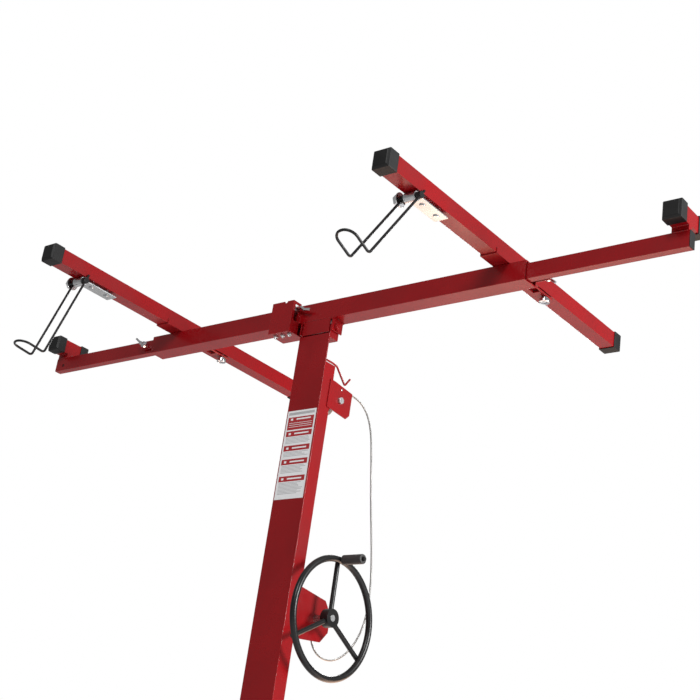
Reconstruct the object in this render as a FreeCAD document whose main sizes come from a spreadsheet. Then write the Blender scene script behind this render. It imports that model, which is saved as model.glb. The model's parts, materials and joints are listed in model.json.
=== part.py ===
"""Drywall lift: braked tripod base, telescoping mast with hand winch, and a tilting cradle.

Frame: origin on the floor under the mast, +X along the main beam, +Y to the winch side, +Z up.
The two panel hooks are on the -Y side.
"""
import FreeCAD
import Part
import Sketcher
import math
import os
import re

from FreeCAD import Placement, Rotation, Vector

doc = FreeCAD.newDocument("DrywallLift")

# ---------------------------------------------------------------- driving dimensions, mm and degrees
SIZES = {
    # mast
    "mast_wide": 100.0, "mast_deep": 40.0, "mast_wall": 2.5,
    "mast_foot": 98.0, "mast_front_top": 1508.0, "mast_lip": 78.0,
    "middle_wide": 72.0, "middle_deep": 30.0, "middle_foot": 170.0, "middle_sunk": 80.0,
    "inner_wide": 50.0, "inner_deep": 20.0, "inner_foot": 200.0, "inner_sunk": 11.0,
    "stage_wall": 2.0, "guide_tall": 40.0, "slide_gap": 0.3,
    # main beam
    "saddle_rise": 22.0, "beam_side": 50.0, "beam_wall": 3.0, "beam_half": 613.0,
    # outriggers
    "outrigger_tall": 40.0, "outrigger_deep": 22.0, "outrigger_wall": 2.0, "outrigger_inset": 5.8,
    "outrigger_lift": 4.0, "outrigger_inner_end": 463.0, "left_reach": 1036.0, "right_reach": 1010.0,
    "post_wide": 40.0, "post_thick": 15.0, "cross_tube_side": 40.0, "cross_tube_long": 106.0,
    "cross_tube_middle": 0.0, "cross_tube_bottom": 57.0,
    # outrigger lock screws in the ears at the beam's ends
    "ear_long": 54.0, "ear_tall": 24.0, "ear_lift": 14.0, "ear_inside": 16.0, "ear_outside": 38.0,
    "screw_long": 30.0, "end_hole_place": 32.0, "plug_depth": 14.0,
    "slot_wide": 14.0, "slot_tall": 62.0, "slot_drop": 92.0,
    "label_wide": 92.0, "label_tall": 230.0, "label_thick": 0.5, "label_drop": 475.0,
    "screw_out": 25.0, "screw_lift": 26.0, "screw_thread": 5.0, "tee_bar_long": 50.0, "tee_bar_radius": 3.0,
    # bevelled rubber caps
    "cap_wall": 2.5, "cap_skirt": 24.0, "cap_bevel": 5.0,
    # cross arms
    "arm_side": 40.0, "arm_wall": 2.0, "arm_front": 492.0, "arm_back": 510.0, "arm_cap_skirt": 28.0,
    "left_arm_place": 524.0, "right_arm_place": 545.0, "saddle_plate": 3.0, "saddle_front": 54.0,
    "saddle_back": 80.0, "saddle_flange": 12.0, "arm_bolt_radius": 6.0,
    "tab_long": 150.0, "tab_thick": 5.0, "tab_slot_wide": 20.0, "tab_slot_long": 36.0,
    "tab_slot_place": 62.0, "lock_pin_place": 128.0, "lock_pin_aside": 12.0, "lock_pin_radius": 5.0,
    "knob_radius": 13.0, "knob_thick": 9.0, "bolt_head_radius": 11.0, "bolt_head_thick": 2.0,
    # panel hooks
    "hook_place": 380.0, "hook_drop": 12.0, "barrel_radius": 8.0, "hook_wire": 3.0,
    "hook_leg": 246.0, "hook_pitch": 24.0, "hook_tail": 19.0, "hook_loop": 68.0, "hook_bend": 78.0,
    "left_lean": 17.6, "right_lean": 33.7, "leaf_long": 112.0, "leaf_thick": 3.0,
    # cradle head
    "tilt_rise": 31.0, "tilt_bolt_radius": 6.0, "tilt_barrel_radius": 13.0,
    "head_cheek": 4.0, "head_half": 48.0,
    "head_round": 16.0, "cradle_gap": 2.0, "cradle_cheek": 3.0, "lip_drop": 35.0,
    # latch box
    "box_left": 134.0, "box_right": 62.0, "box_deep": 31.0, "box_low": 33.0, "box_high": 54.0,
    "box_wall": 2.5, "latch_radius": 4.0,
    # rear pulley bracket
    "bracket_plate": 3.0, "bracket_back": 96.0, "bracket_drop": 116.0, "bracket_tall": 79.0,
    "pulley_place": 53.0, "pulley_drop": 42.0, "pulley_radius": 31.0, "groove_depth": 4.0,
    "pulley_thick": 16.0, "axle_radius": 5.0, "rod_radius": 2.6,
    # winch
    "winch_place": 97.0, "winch_height": 812.0, "drum_radius": 26.0, "drum_flange": 39.0,
    "winding_radius": 31.0, "winch_half": 36.0, "winch_plate": 4.0, "shaft_radius": 8.0,
    "hand_wheel_radius": 140.0, "hand_wheel_rim": 8.0, "hand_wheel_place": 92.0, "cable_radius": 2.4,
    # tripod
    "leg_side": 40.0, "leg_wall": 2.0, "leg_height": 120.0, "leg_inner": 75.0, "leg_outer": 556.0,
    "socket_wall": 3.5, "socket_reach": 210.0, "screw_place": 180.0, "screw_radius": 5.0, "hub_wall": 4.0,
    "hub_foot": 94.0, "hub_top": 250.0, "castor_place": 530.0, "castor_trail": 20.0,
    "wheel_radius": 37.5, "wheel_thick": 24.0, "stem_radius": 6.0, "fork_plate": 3.0,
    # shared clearances
    "running_fit": 0.05, "side_gap": 0.3,
}

# heights that follow from the driving ones
FOLLOWS = {
    "mast_side_top": "(mast_front_top - mast_lip)",
    "middle_top": "(mast_front_top - middle_sunk)",
    "inner_top": "(mast_front_top - inner_sunk)",
    "tilt_height": "(inner_top + tilt_rise)",
    "beam_bottom": "(tilt_height + saddle_rise)",
    "bracket_top": "(mast_front_top - bracket_drop)",
    "bracket_low": "(bracket_top - bracket_tall)",
    "pulley_height": "(bracket_top - pulley_drop)",
}
WORD = re.compile(r"[a-z][a-z_]+")

sheet = doc.addObject("Spreadsheet::Sheet", "Sizes")
for row, (alias, amount) in enumerate(SIZES.items(), start=1):
    sheet.set(f"A{row}", alias)
    sheet.set(f"B{row}", str(amount))
    sheet.setAlias(f"B{row}", alias)
doc.recompute()

NODES = []
SIDES = {"left": -1, "right": 1}
counter = {"pieces": 0}


def cell(text):
    """Expression text with following heights written out and every alias given its sheet's name."""
    text = str(text)
    while any(word in FOLLOWS for word in WORD.findall(text)):
        text = WORD.sub(lambda word: FOLLOWS.get(word.group(), word.group()), text)
    return WORD.sub(lambda word: "Sizes." + word.group(), text)


def fresh(kind, stem):
    counter["pieces"] += 1
    return doc.addObject(kind, f"{stem}_{counter['pieces']}")


def place(item, spot, axis=Vector(0, 0, 1), angle=0.0):
    """Put an item at three expressions, turned by a fixed angle about an axis."""
    item.Placement = Placement(Vector(0, 0, 0), Rotation(axis, angle))
    for letter, text in zip("xyz", spot):
        item.setExpression("Placement.Base." + letter, cell(text))
    return item


def box(size, corner):
    item = fresh("Part::Box", "block")
    for name, text in zip(("Length", "Width", "Height"), size):
        item.setExpression(name, cell(text))
    return place(item, corner)


TURNS = {"x": (Vector(0, 1, 0), 90.0), "y": (Vector(1, 0, 0), -90.0), "z": (Vector(0, 0, 1), 0.0)}


def rod(radius, length, start, way="z"):
    """Cylinder from a start point along +X, +Y or +Z."""
    item = fresh("Part::Cylinder", "rod")
    item.setExpression("Radius", cell(radius))
    item.setExpression("Height", cell(length))
    return place(item, start, *TURNS[way])


def hexagon(across, length, start, way="x"):
    """Six-sided prism from a start point along +X, +Y or +Z."""
    item = fresh("Part::Prism", "hex")
    item.Polygon = 6
    item.setExpression("Circumradius", cell(f"({across}) / 1.732"))
    item.setExpression("Height", cell(length))
    return place(item, start, *TURNS[way])


def fuse(*items):
    if len(items) == 1:
        return items[0]
    result = fresh("Part::MultiFuse", "joined")
    result.Shapes = list(items)
    result.Refine = True
    return result


def cut(base, *tools):
    result = fresh("Part::Cut", "cut")
    result.Base = base
    result.Tool = fuse(*tools)
    return result


def outline_plate(points, thickness, start, way="x"):
    """Flat plate: a sketched outline of expression pairs, padded along +X, +Y or +Z.

    The pairs are (Y, Z) for a plate along X, (X, Z) along Y and (X, Y) along Z.
    """
    body = fresh("PartDesign::Body", "plate")
    role = {"x": "YZ_Plane", "y": "XZ_Plane", "z": "XY_Plane"}[way]
    plane = next(item for item in body.Origin.OriginFeatures if item.Role == role)
    sketch = body.newObject("Sketcher::SketchObject", body.Name + "_outline")
    sketch.AttachmentSupport = [(plane, "")]
    sketch.MapMode = "FlatFace"
    count = len(points)
    angles = [2 * math.pi * number / count for number in range(count)]
    corners = [Vector(50 * math.cos(a), 50 * math.sin(a), 0) for a in angles]
    for number in range(count):
        sketch.addGeometry(Part.LineSegment(corners[number], corners[(number + 1) % count]))
    for number in range(count):
        following = (number + 1) % count
        sketch.addConstraint(Sketcher.Constraint("Coincident", number, 2, following, 1))
    for number, pair in enumerate(points):
        for kind, text, now in zip(("DistanceX", "DistanceY"), pair, corners[number]):
            index = sketch.addConstraint(Sketcher.Constraint(kind, -1, 1, number, 1, now))
            sketch.setExpression(f"Constraints[{index}]", cell(text))
    pad = body.newObject("PartDesign::Pad", body.Name + "_pad")
    pad.Profile = sketch
    pad.setExpression("Length", cell(thickness))
    pad.Reversed = way == "y"
    body.Tip = pad
    return place(body, start)


def swept(path, radius):
    """Round bar along a wire, as a shape set from code."""
    first = path.Edges[0]
    start = first.valueAt(first.FirstParameter)
    along = first.tangentAt(first.FirstParameter)
    profile = Part.Wire(Part.Circle(start, along, radius).toShape())
    item = fresh("Part::Feature", "bar")
    item.Shape = path.makePipeShell([profile], True, False)
    return item


def rounded_path(points, radii, report=""):
    """Wire of straight runs joined by tangent arcs; None in radii means as large as the runs allow."""
    points = [Vector(*point) for point in points]
    edges, last = [], points[0]
    for before, corner, after, radius in zip(points, points[1:], points[2:], radii):
        inward = (before - corner).normalize()
        outward = (after - corner).normalize()
        half_turn = (math.pi - inward.getAngle(outward)) / 2
        shorter = min((before - corner).Length, (after - corner).Length)
        if radius is None:
            radius = 0.45 * shorter / math.tan(half_turn)
        reach = radius * math.tan(half_turn)
        if report:
            print(report, "turn", round(math.degrees(2 * half_turn), 1), "radius", round(radius, 1))
        begin, end = corner + inward * reach, corner + outward * reach
        centre = corner + (inward + outward).normalize() * (radius / math.cos(half_turn))
        middle = centre + (corner - centre).normalize() * radius
        edges.append(Part.LineSegment(last, begin).toShape())
        edges.append(Part.Arc(begin, middle, end).toShape())
        last = end
    edges.append(Part.LineSegment(last, points[-1]).toShape())
    return Part.Wire(edges)


def node(label, item, spot=None, axis=Vector(0, 0, 1), angle=0.0):
    """Name a finished sub-part; spot moves it from where it was built."""
    item.Label = label
    if spot is not None:
        place(item, spot, axis, angle)
    NODES.append(item)
    return item


# ---------------------------------------------------------------- mast
def make_mast():
    half = "mast_wide / 2"
    outside = box(("mast_wide", "mast_deep", "mast_front_top - mast_foot"),
                  (f"-{half}", "-mast_deep / 2", "mast_foot"))
    inside = box(("mast_wide - 2 * mast_wall", "mast_deep - 2 * mast_wall", "mast_front_top"),
                 (f"-{half} + mast_wall", "-mast_deep / 2 + mast_wall", "mast_foot"))
    above = box(("mast_wide + 2", "mast_deep", "mast_front_top - mast_side_top + 1"),
                (f"-{half} - 1", "-mast_deep / 2 + mast_wall", "mast_side_top"))
    slot = box(("slot_wide", "mast_deep", "slot_tall"),
               ("-slot_wide / 2", "0", "pulley_height - slot_drop"))
    node("outer_mast", cut(outside, inside, above, slot))

    pads = []
    for side, low in (("outer", "mast_side_top - guide_tall - 4"), ("middle", "middle_top - guide_tall")):
        host_wide = "(mast_wide - 2 * mast_wall)" if side == "outer" else "(middle_wide - 2 * stage_wall)"
        host_deep = "(mast_deep - 2 * mast_wall)" if side == "outer" else "(middle_deep - 2 * stage_wall)"
        block = box((host_wide, host_deep, "guide_tall"), (f"-{host_wide} / 2", f"-{host_deep} / 2", low))
        guest_wide = "middle_wide" if side == "outer" else "inner_wide"
        guest_deep = "middle_deep" if side == "outer" else "inner_deep"
        hole = box((f"{guest_wide} + 2 * slide_gap", f"{guest_deep} + 2 * slide_gap", "guide_tall + 2"),
                   (f"-{guest_wide} / 2 - slide_gap", f"-{guest_deep} / 2 - slide_gap", low + " - 1"))
        node(f"{side}_guide_collar", cut(block, hole))

    for stage in ("middle", "inner"):
        tall = f"{stage}_top - {stage}_foot"
        shell = box((f"{stage}_wide", f"{stage}_deep", tall),
                    (f"-{stage}_wide / 2", f"-{stage}_deep / 2", f"{stage}_foot"))
        core = box((f"{stage}_wide - 2 * stage_wall", f"{stage}_deep - 2 * stage_wall", tall + " + 2"),
                   (f"-{stage}_wide / 2 + stage_wall", f"-{stage}_deep / 2 + stage_wall",
                    f"{stage}_foot - 1"))
        node(f"{stage}_mast", cut(shell, core))

    node("mast_label", box(("label_wide", "label_thick", "label_tall"),
                          ("-label_wide / 2", "-mast_deep / 2 - label_thick", "beam_bottom - label_drop")))


# ---------------------------------------------------------------- cradle head
def make_head():
    deep = "(head_round * 2)"
    cheeks = []
    for start in ("-head_half", "head_half - head_cheek"):
        flat = box(("head_cheek", deep, "tilt_height - inner_top"), (start, "-head_round", "inner_top"))
        round_top = rod("head_round", "head_cheek", (start, "0", "tilt_height"), "x")
        cheeks.append(fuse(flat, round_top))
    floor = box(("2 * head_half", deep, "head_cheek"), ("-head_half", "-head_round", "inner_top"))
    bore = rod("tilt_bolt_radius + running_fit", "2 * head_half + 2",
               ("-head_half - 1", "0", "tilt_height"), "x")
    barrel = rod("tilt_barrel_radius", "2 * (head_half - head_cheek)",
                 ("-head_half + head_cheek", "0", "tilt_height"), "x")
    node("mast_head", cut(fuse(*cheeks, floor, barrel), bore))

    out = "(head_half + cradle_gap + cradle_cheek)"
    front = "-mast_deep / 2 + 1"
    top = "beam_bottom"
    plates = [box((f"2 * {out}", "44", "cradle_cheek"), (f"-{out}", front, f"{top} - cradle_cheek"))]
    for start in (f"-{out}", "head_half + cradle_gap"):
        plates.append(box(("cradle_cheek", "40", "beam_bottom - tilt_height + 12"),
                          (start, front, "tilt_height - 12")))
    plates.append(box(("2 * (head_half - head_cheek - 1)", "cradle_cheek", "lip_drop"),
                      ("-head_half + head_cheek + 1", front, f"{top} - cradle_cheek - lip_drop")))
    bolt_hole = rod("tilt_bolt_radius", f"2 * {out} + 2", (f"-{out} - 1", "0", "tilt_height"), "x")
    node("cradle_saddle", cut(fuse(*plates), bolt_hole))

    shank = rod("tilt_bolt_radius", f"2 * {out} + 16", (f"-{out} - 8", "0", "tilt_height"), "x")
    head = hexagon("19", "7", (f"{out}", "0", "tilt_height"))
    nut = hexagon("19", "7", (f"-{out} - 7", "0", "tilt_height"))
    node("tilt_bolt", fuse(shank, head, nut))


# ---------------------------------------------------------------- main beam
def make_beam():
    front = "-mast_deep / 2"
    outside = box(("2 * beam_half", "beam_side", "beam_side"), ("-beam_half", front, "beam_bottom"))
    inside = box(("2 * beam_half + 2", "beam_side - 2 * beam_wall", "beam_side - 2 * beam_wall"),
                 ("-beam_half - 1", front + " + beam_wall", "beam_bottom + beam_wall"))
    tube = cut(outside, inside)
    extras = []
    for name, side in SIDES.items():
        middle = f"{side} * {name}_arm_place"
        tab = box(("arm_side", "tab_long", "tab_thick"),
                  (f"{middle} - arm_side / 2", front + " + beam_side",
                   "beam_bottom + beam_side - tab_thick"))
        slot = box(("tab_slot_wide", "tab_slot_long", "tab_thick + 2"),
                   (f"{middle} - 2", front + " + beam_side + tab_slot_place",
                    "beam_bottom + beam_side - tab_thick - 1"))
        pin_hole = rod("lock_pin_radius + running_fit", "tab_thick + 2",
                       (f"{middle} + lock_pin_aside", front + " + beam_side + lock_pin_place",
                        "beam_bottom + beam_side - tab_thick - 1"))
        extras.append(cut(tab, slot, pin_hole))
        ear_start = "-beam_half - ear_outside" if side < 0 else "beam_half - ear_inside"
        ear_face = front if side < 0 else front + " + beam_side - beam_wall"
        ear = box(("ear_long", "beam_wall", "ear_tall"), (ear_start, ear_face, "beam_bottom + ear_lift"))
        screw_hole = rod("screw_thread + running_fit", "beam_wall + 2",
                         (f"{side} * (beam_half + screw_out)", ear_face + " - 1",
                          "beam_bottom + screw_lift"), "y")
        extras.append(cut(ear, screw_hole))
    node("main_beam", fuse(tube, *extras))

    studs = []
    for name, side in SIDES.items():
        middle = f"{side} * {name}_arm_place"
        foot = "beam_bottom + beam_side"
        centre_y = front + " + beam_side / 2"
        shank = rod("arm_bolt_radius", "arm_side + saddle_plate + side_gap + 1", (middle, centre_y, foot))
        head = rod("bolt_head_radius", "bolt_head_thick",
                   (middle, centre_y, foot + " + arm_side + saddle_plate + side_gap"))
        studs.append(fuse(shank, head))
    group = fresh("Part::Compound", "studs")
    group.Links = studs
    node("arm_pivot_bolts", group)


# ---------------------------------------------------------------- end caps
def cap(side, skirt):
    """Square cap that stands over a tube's end at the origin, closed towards -Y."""
    over = f"({side} + 2 * cap_wall)"
    shell = box((over, f"{skirt} + cap_wall", over), (f"-{over} / 2", "-cap_wall", f"-{over} / 2"))
    hollow = box((side, f"{skirt} + 1", side), (f"-{side} / 2", "0", f"-{side} / 2"))
    bevel = fresh("Part::Wedge", "bevel")
    bevel.setExpression("Ymin", cell("0"))
    bevel.setExpression("Ymax", cell("cap_bevel"))
    for letter in "XZ":
        for name, text in (("min", f"-{over} / 2"), ("max", f"{over} / 2"),
                           ("2min", f"-{over} / 2 + cap_bevel"), ("2max", f"{over} / 2 - cap_bevel")):
            bevel.setExpression(letter + name, cell(text))
    place(bevel, ("0", "-cap_wall", "0"), Vector(0, 0, 1), 180)
    return fuse(cut(shell, hollow), bevel)


def tube_y(side, wall, length, corner):
    """Square tube along Y from a corner given by expressions."""
    x, y, z = corner
    outside = box((side, length, side), corner)
    inside = box((f"{side} - 2 * {wall}", f"{length} + 2", f"{side} - 2 * {wall}"),
                 (f"{x} + {wall}", f"{y} - 1", f"{z} + {wall}"))
    return cut(outside, inside)


# ---------------------------------------------------------------- outriggers
def make_outrigger(name, side, reach):
    front = "(-mast_deep / 2 + outrigger_inset)"
    low = "(beam_bottom + outrigger_lift)"
    start = f"-{reach}" if side < 0 else "outrigger_inner_end"
    length = f"{reach} - outrigger_inner_end"
    outside = box((length, "outrigger_deep", "outrigger_tall"), (start, front, low))
    inside = box((f"{length} + 2", "outrigger_deep - 2 * outrigger_wall",
                  "outrigger_tall - 2 * outrigger_wall"),
                 (f"{start} - 1", f"{front} + outrigger_wall", f"{low} + outrigger_wall"))
    hollow = [inside]
    if side < 0:
        hollow.append(rod("screw_thread + 0.5", "outrigger_wall + 2",
                          (f"end_hole_place - {reach}", f"{front} - 1", f"{low} + 16"), "y"))
    post_start = f"-{reach} + 2" if side < 0 else f"{reach} - post_wide - 2"
    post = box(("post_wide", "post_thick", "cross_tube_bottom - outrigger_tall - outrigger_lift"),
               (post_start, front, f"{low} + outrigger_tall"))
    tube = tube_y("cross_tube_side", "outrigger_wall", "cross_tube_long",
                  (post_start, "cross_tube_middle - cross_tube_long / 2",
                   "beam_bottom + cross_tube_bottom"))
    node(f"{name}_outrigger", fuse(cut(outside, *hollow), post, tube))

    middle_x = f"{post_start} + cross_tube_side / 2"
    middle_z = "beam_bottom + cross_tube_bottom + cross_tube_side / 2"
    near = place(cap("cross_tube_side", "cap_skirt"),
                 (middle_x, "cross_tube_middle - cross_tube_long / 2", middle_z))
    far = place(cap("cross_tube_side", "cap_skirt"),
                (middle_x, "cross_tube_middle + cross_tube_long / 2", middle_z), Vector(0, 0, 1), 180)
    plug = box(("cap_wall", "outrigger_deep", "outrigger_tall"),
               (f"-{reach} - cap_wall" if side < 0 else reach, front, low))
    stub = box(("plug_depth", "outrigger_deep - 2 * outrigger_wall", "outrigger_tall - 2 * outrigger_wall"),
               (f"-{reach}" if side < 0 else f"{reach} - plug_depth", f"{front} + outrigger_wall",
                f"{low} + outrigger_wall"))
    group = fresh("Part::Compound", "caps")
    group.Links = [near, far, fuse(plug, stub)] if side > 0 else [near, far]
    node(f"{name}_outrigger_caps", group)

    screw_x = f"{side} * (beam_half + screw_out)"
    height = "beam_bottom + screw_lift"
    if side < 0:
        tip = f"{front} - side_gap - screw_long"
        shoulder, handle = "-mast_deep / 2 - 12", "-mast_deep / 2 - 22"
    else:
        tip = f"{front} + outrigger_deep + side_gap"
        shoulder, handle = "beam_side - mast_deep / 2 + 6", "beam_side - mast_deep / 2 + 10"
    thread = rod("screw_thread", "screw_long", (screw_x, tip, height), "y")
    collar = rod("9", "6", (screw_x, shoulder, height), "y")
    bar = place(rod("tee_bar_radius", "tee_bar_long", ("0", "0", "0")),
                (f"{screw_x} - 20", handle, f"{height} + 15"), Vector(0, 1, 0), 127)
    node(f"{name}_lock_screw", fuse(thread, collar, bar))


# ---------------------------------------------------------------- cross arms with their hooks
def make_arm(name, side, lean):
    middle = f"{side} * {name}_arm_place"
    centre_y = "(-mast_deep / 2 + beam_side / 2)"
    low = "(beam_bottom + beam_side + saddle_plate)"
    pivot_hole = rod("arm_bolt_radius + running_fit", "arm_side + 4", (middle, centre_y, f"{low} - 1"))
    lock_hole = rod("lock_pin_radius + 0.5", "arm_wall + 2",
                    (f"{middle} + lock_pin_aside", "-mast_deep / 2 + beam_side + lock_pin_place",
                     f"{low} - 1"))
    tube = tube_y("arm_side", "arm_wall", "arm_front + arm_back",
                  (f"{middle} - arm_side / 2", f"{centre_y} - arm_front", low))
    node(f"{name}_arm", cut(tube, pivot_hole, lock_hole))

    over = "(arm_side + 2 * saddle_plate)"
    long = "(saddle_front + saddle_back)"
    base_y = "(-mast_deep / 2 - saddle_front)"
    base = box((over, long, "saddle_plate"), (f"{middle} - {over} / 2", base_y, f"{low} - saddle_plate"))
    sides = [box(("saddle_plate", long, "saddle_flange"), (start, base_y, low))
             for start in (f"{middle} - {over} / 2", f"{middle} + arm_side / 2")]
    hole = rod("arm_bolt_radius + running_fit", "saddle_plate + 2",
               (middle, centre_y, f"{low} - saddle_plate - 1"))
    node(f"{name}_arm_saddle", cut(fuse(base, *sides), hole))

    middle_z = f"{low} + arm_side / 2"
    near = place(cap("arm_side", "arm_cap_skirt"), (middle, f"{centre_y} - arm_front", middle_z))
    far = place(cap("arm_side", "arm_cap_skirt"), (middle, f"{centre_y} + arm_back", middle_z),
                Vector(0, 0, 1), 180)
    group = fresh("Part::Compound", "caps")
    group.Links = [near, far]
    node(f"{name}_arm_caps", group)

    pin_y = "-mast_deep / 2 + beam_side + lock_pin_place"
    tab_low = "(beam_bottom + beam_side - tab_thick)"
    pin_x = f"{middle} + lock_pin_aside"
    pin = rod("lock_pin_radius", "tab_thick + saddle_plate + 10 - side_gap",
              (pin_x, pin_y, f"{tab_low} - 10"))
    knob = rod("knob_radius", "knob_thick", (pin_x, pin_y, f"{tab_low} - 15"))
    waist = rod("knob_radius - 4", "4", (pin_x, pin_y, f"{tab_low} - 6.5"))
    node(f"{name}_lock_pin", fuse(pin, knob, waist))

    pivot_y = f"({centre_y} - hook_place)"
    pivot_z = f"({low} - hook_drop)"
    leaf = box(("arm_side - 4", "leaf_long", "leaf_thick"),
               (f"{middle} - arm_side / 2 + 2", pivot_y, f"{pivot_z} + 1"))
    knuckle = rod("barrel_radius + leaf_thick", "30", (f"{middle} - 15", pivot_y, pivot_z), "x")
    bore = rod("barrel_radius + running_fit", "60", (f"{middle} - 30", pivot_y, pivot_z), "x")
    spacers = [rod("6", "hook_drop - 1 - leaf_thick", (middle, f"{pivot_y} + {away}",
                                                     f"{pivot_z} + 1 + leaf_thick")) for away in (40, 92)]
    heads = [rod("7", "3", (middle, f"{pivot_y} + {away}", f"{pivot_z} - 2")) for away in (40, 92)]
    node(f"{name}_hook_leaf", cut(fuse(leaf, knuckle, *spacers, *heads), bore))

    turn = Vector(1, 0, 0)
    spot = (middle, pivot_y, pivot_z)
    bend = math.radians(SIZES["hook_bend"])
    along = (-SIZES["hook_loop"] * math.sin(bend), -SIZES["hook_leg"] - SIZES["hook_loop"] * math.cos(bend))
    pitch = SIZES["hook_pitch"]
    route = [(-pitch, 0, SIZES["hook_tail"]), (-pitch, 0, -SIZES["hook_leg"]), (-pitch, *along),
             (pitch, *along), (pitch, 0, -SIZES["hook_leg"]), (pitch, 0, SIZES["hook_tail"])]
    wire = swept(rounded_path(route, [10, pitch - 0.5, pitch - 0.5, 10]), SIZES["hook_wire"])
    node(f"{name}_hook_wire", wire, spot, turn, -lean)
    core = rod("barrel_radius", "2 * hook_pitch + 8", ("-hook_pitch - 4", "0", "0"), "x")
    passages = [rod("hook_wire", "4 * barrel_radius", (f"{way} * hook_pitch", "0", "-2 * barrel_radius"))
                for way in (-1, 1)]
    node(f"{name}_hook_barrel", cut(core, *passages), spot, turn, -lean)
    washer = rod("17", "2.5", ("-hook_pitch - 6.5", "0", "0"), "x")
    nut = hexagon("24", "10", ("-hook_pitch - 16.5", "0", "0"))
    node(f"{name}_hook_nut", fuse(washer, nut), spot, turn, -lean)


# ---------------------------------------------------------------- latch box
def make_latch_box():
    front = "(-mast_deep / 2 - box_deep)"
    low = "(beam_bottom - box_low)"
    tall = "(box_low + box_high)"
    wide = "(box_left - box_right)"
    back = "-mast_deep / 2"
    pieces = [
        box((wide, "box_wall", tall), ("-box_left", front, low)),
        box(("box_wall", "box_deep", tall), ("-box_left", front, low)),
        box(("box_wall", "box_deep", tall), ("-box_right - box_wall", front, low)),
        box((wide, "box_deep + 30", "box_wall"), ("-box_left", front, low)),
        box((wide, "box_wall", "box_low"), ("-box_left", back + " + 27.5", low)),
    ]
    window = box(("box_wall + 2", "16", "46"),
                 ("-box_right - box_wall - 1", front + " + 9", low + " + 34"))
    notch = rod("5", "box_wall + 2", ("-box_right - 26", front + " - 1", "beam_bottom + box_high"), "y")
    bolt_holes = [rod("3", "box_wall + 2", (f"-box_right - {away}", front + " + 14", low + " - 1"))
                  for away in (10, 32, 56)]
    latch_hole = rod("latch_radius + running_fit", wide,
                     ("-box_left - 10", front + " + 17", "beam_bottom + 38"), "x")
    node("latch_box", cut(fuse(*pieces), window, notch, latch_hole, *bolt_holes))

    bolts = [fuse(rod("3", "22", (f"-box_right - {away}", front + " + 14", low + " - 9")),
                  hexagon("11", "5", (f"-box_right - {away}", front + " + 14", low + " - 5"), "z"))
             for away in (10, 32, 56)]
    group = fresh("Part::Compound", "bolts")
    group.Links = bolts
    node("latch_box_bolts", group)

    route = [(-SIZES["box_left"] - 6, 0, 0), (-50, 0, 0), (-38, 0, -8), (-16, 0, -12)]
    bar = place(swept(rounded_path(route, [8, 8]), SIZES["latch_radius"]),
                ("0", front + " + 17", "beam_bottom + 38"))
    collar = rod("7", "9", ("-box_right - 32", front + " + 17", "beam_bottom + 38"), "x")
    node("tilt_latch", fuse(bar, collar))


# ---------------------------------------------------------------- rear pulley
def make_pulley():
    back = "(mast_deep / 2)"
    points = [("mast_deep / 2 - 12", "bracket_low + 6"), ("bracket_back - 12", "bracket_low"),
              ("bracket_back", "bracket_low + 12"), ("bracket_back", "bracket_top - 8"),
              ("mast_deep / 2 + 3", "bracket_top"), ("mast_deep / 2 - 12", "bracket_top")]
    half = "mast_wide / 2"
    cheeks = [outline_plate(points, "bracket_plate", (start, "0", "0"))
              for start in (f"-{half} - bracket_plate", half)]
    web = box(("mast_wide", "bracket_plate", "14"), (f"-{half}", back, "bracket_low + 2"))
    axle_hole = rod("axle_radius", "mast_wide + 20",
                    (f"-{half} - 10", "pulley_place", "pulley_height"), "x")
    rivet_hole = rod("3", "mast_wide + 20", (f"-{half} - 10", "pulley_place", "pulley_height + 29"), "x")
    node("pulley_bracket", cut(fuse(*cheeks, web), axle_hole, rivet_hole))

    out = "(mast_wide / 2 + bracket_plate)"
    shank = rod("axle_radius", f"2 * {out} + 12", (f"-{out} - 6", "pulley_place", "pulley_height"), "x")
    head = hexagon("16", "6", (out, "pulley_place", "pulley_height"))
    nut = hexagon("16", "6", (f"-{out} - 6", "pulley_place", "pulley_height"))
    sleeves = [rod("axle_radius + 4", "mast_wide / 2 - pulley_thick / 2 - side_gap",
                   (start, "pulley_place", "pulley_height"), "x")
               for start in (f"-{half}", "pulley_thick / 2 + side_gap")]
    node("pulley_bolt", fuse(shank, head, nut, *sleeves))
    keepers = fresh("Part::Compound", "keepers")
    keepers.Links = [rod("3", "bracket_plate + 5", (start, "pulley_place", "pulley_height + 29"), "x")
                     for start in (f"-{out} - 2", f"{half} - 3")]
    node("bracket_rivets", keepers)

    centre = ("pulley_place", "pulley_height")
    wheel = rod("pulley_radius", "pulley_thick", ("-pulley_thick / 2", *centre), "x")
    ring = fresh("Part::Torus", "groove")
    ring.setExpression("Radius1", cell("pulley_radius + 1.2"))
    ring.setExpression("Radius2", cell("groove_depth"))
    place(ring, ("0", *centre), Vector(0, 1, 0), 90)
    bore = rod("axle_radius + running_fit", "pulley_thick + 2", ("-pulley_thick / 2 - 1", *centre), "x")
    node("top_pulley", cut(wheel, ring, bore))

    side = SIZES["mast_wide"] / 2 + SIZES["bracket_plate"] / 2
    low = SIZES["rod_radius"]
    high = SIZES["bracket_drop"] - SIZES["mast_lip"] + low
    route = [(side, -17, high + 1), (side, 6, high + 1), (side, 24, high - 1), (side, 63, low + 0.5),
             (side, 80, low + 24)]
    node("retaining_rod", swept(rounded_path(route, [20, 12, 4]), SIZES["rod_radius"]),
         ("0", "0", "bracket_top"))


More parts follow.
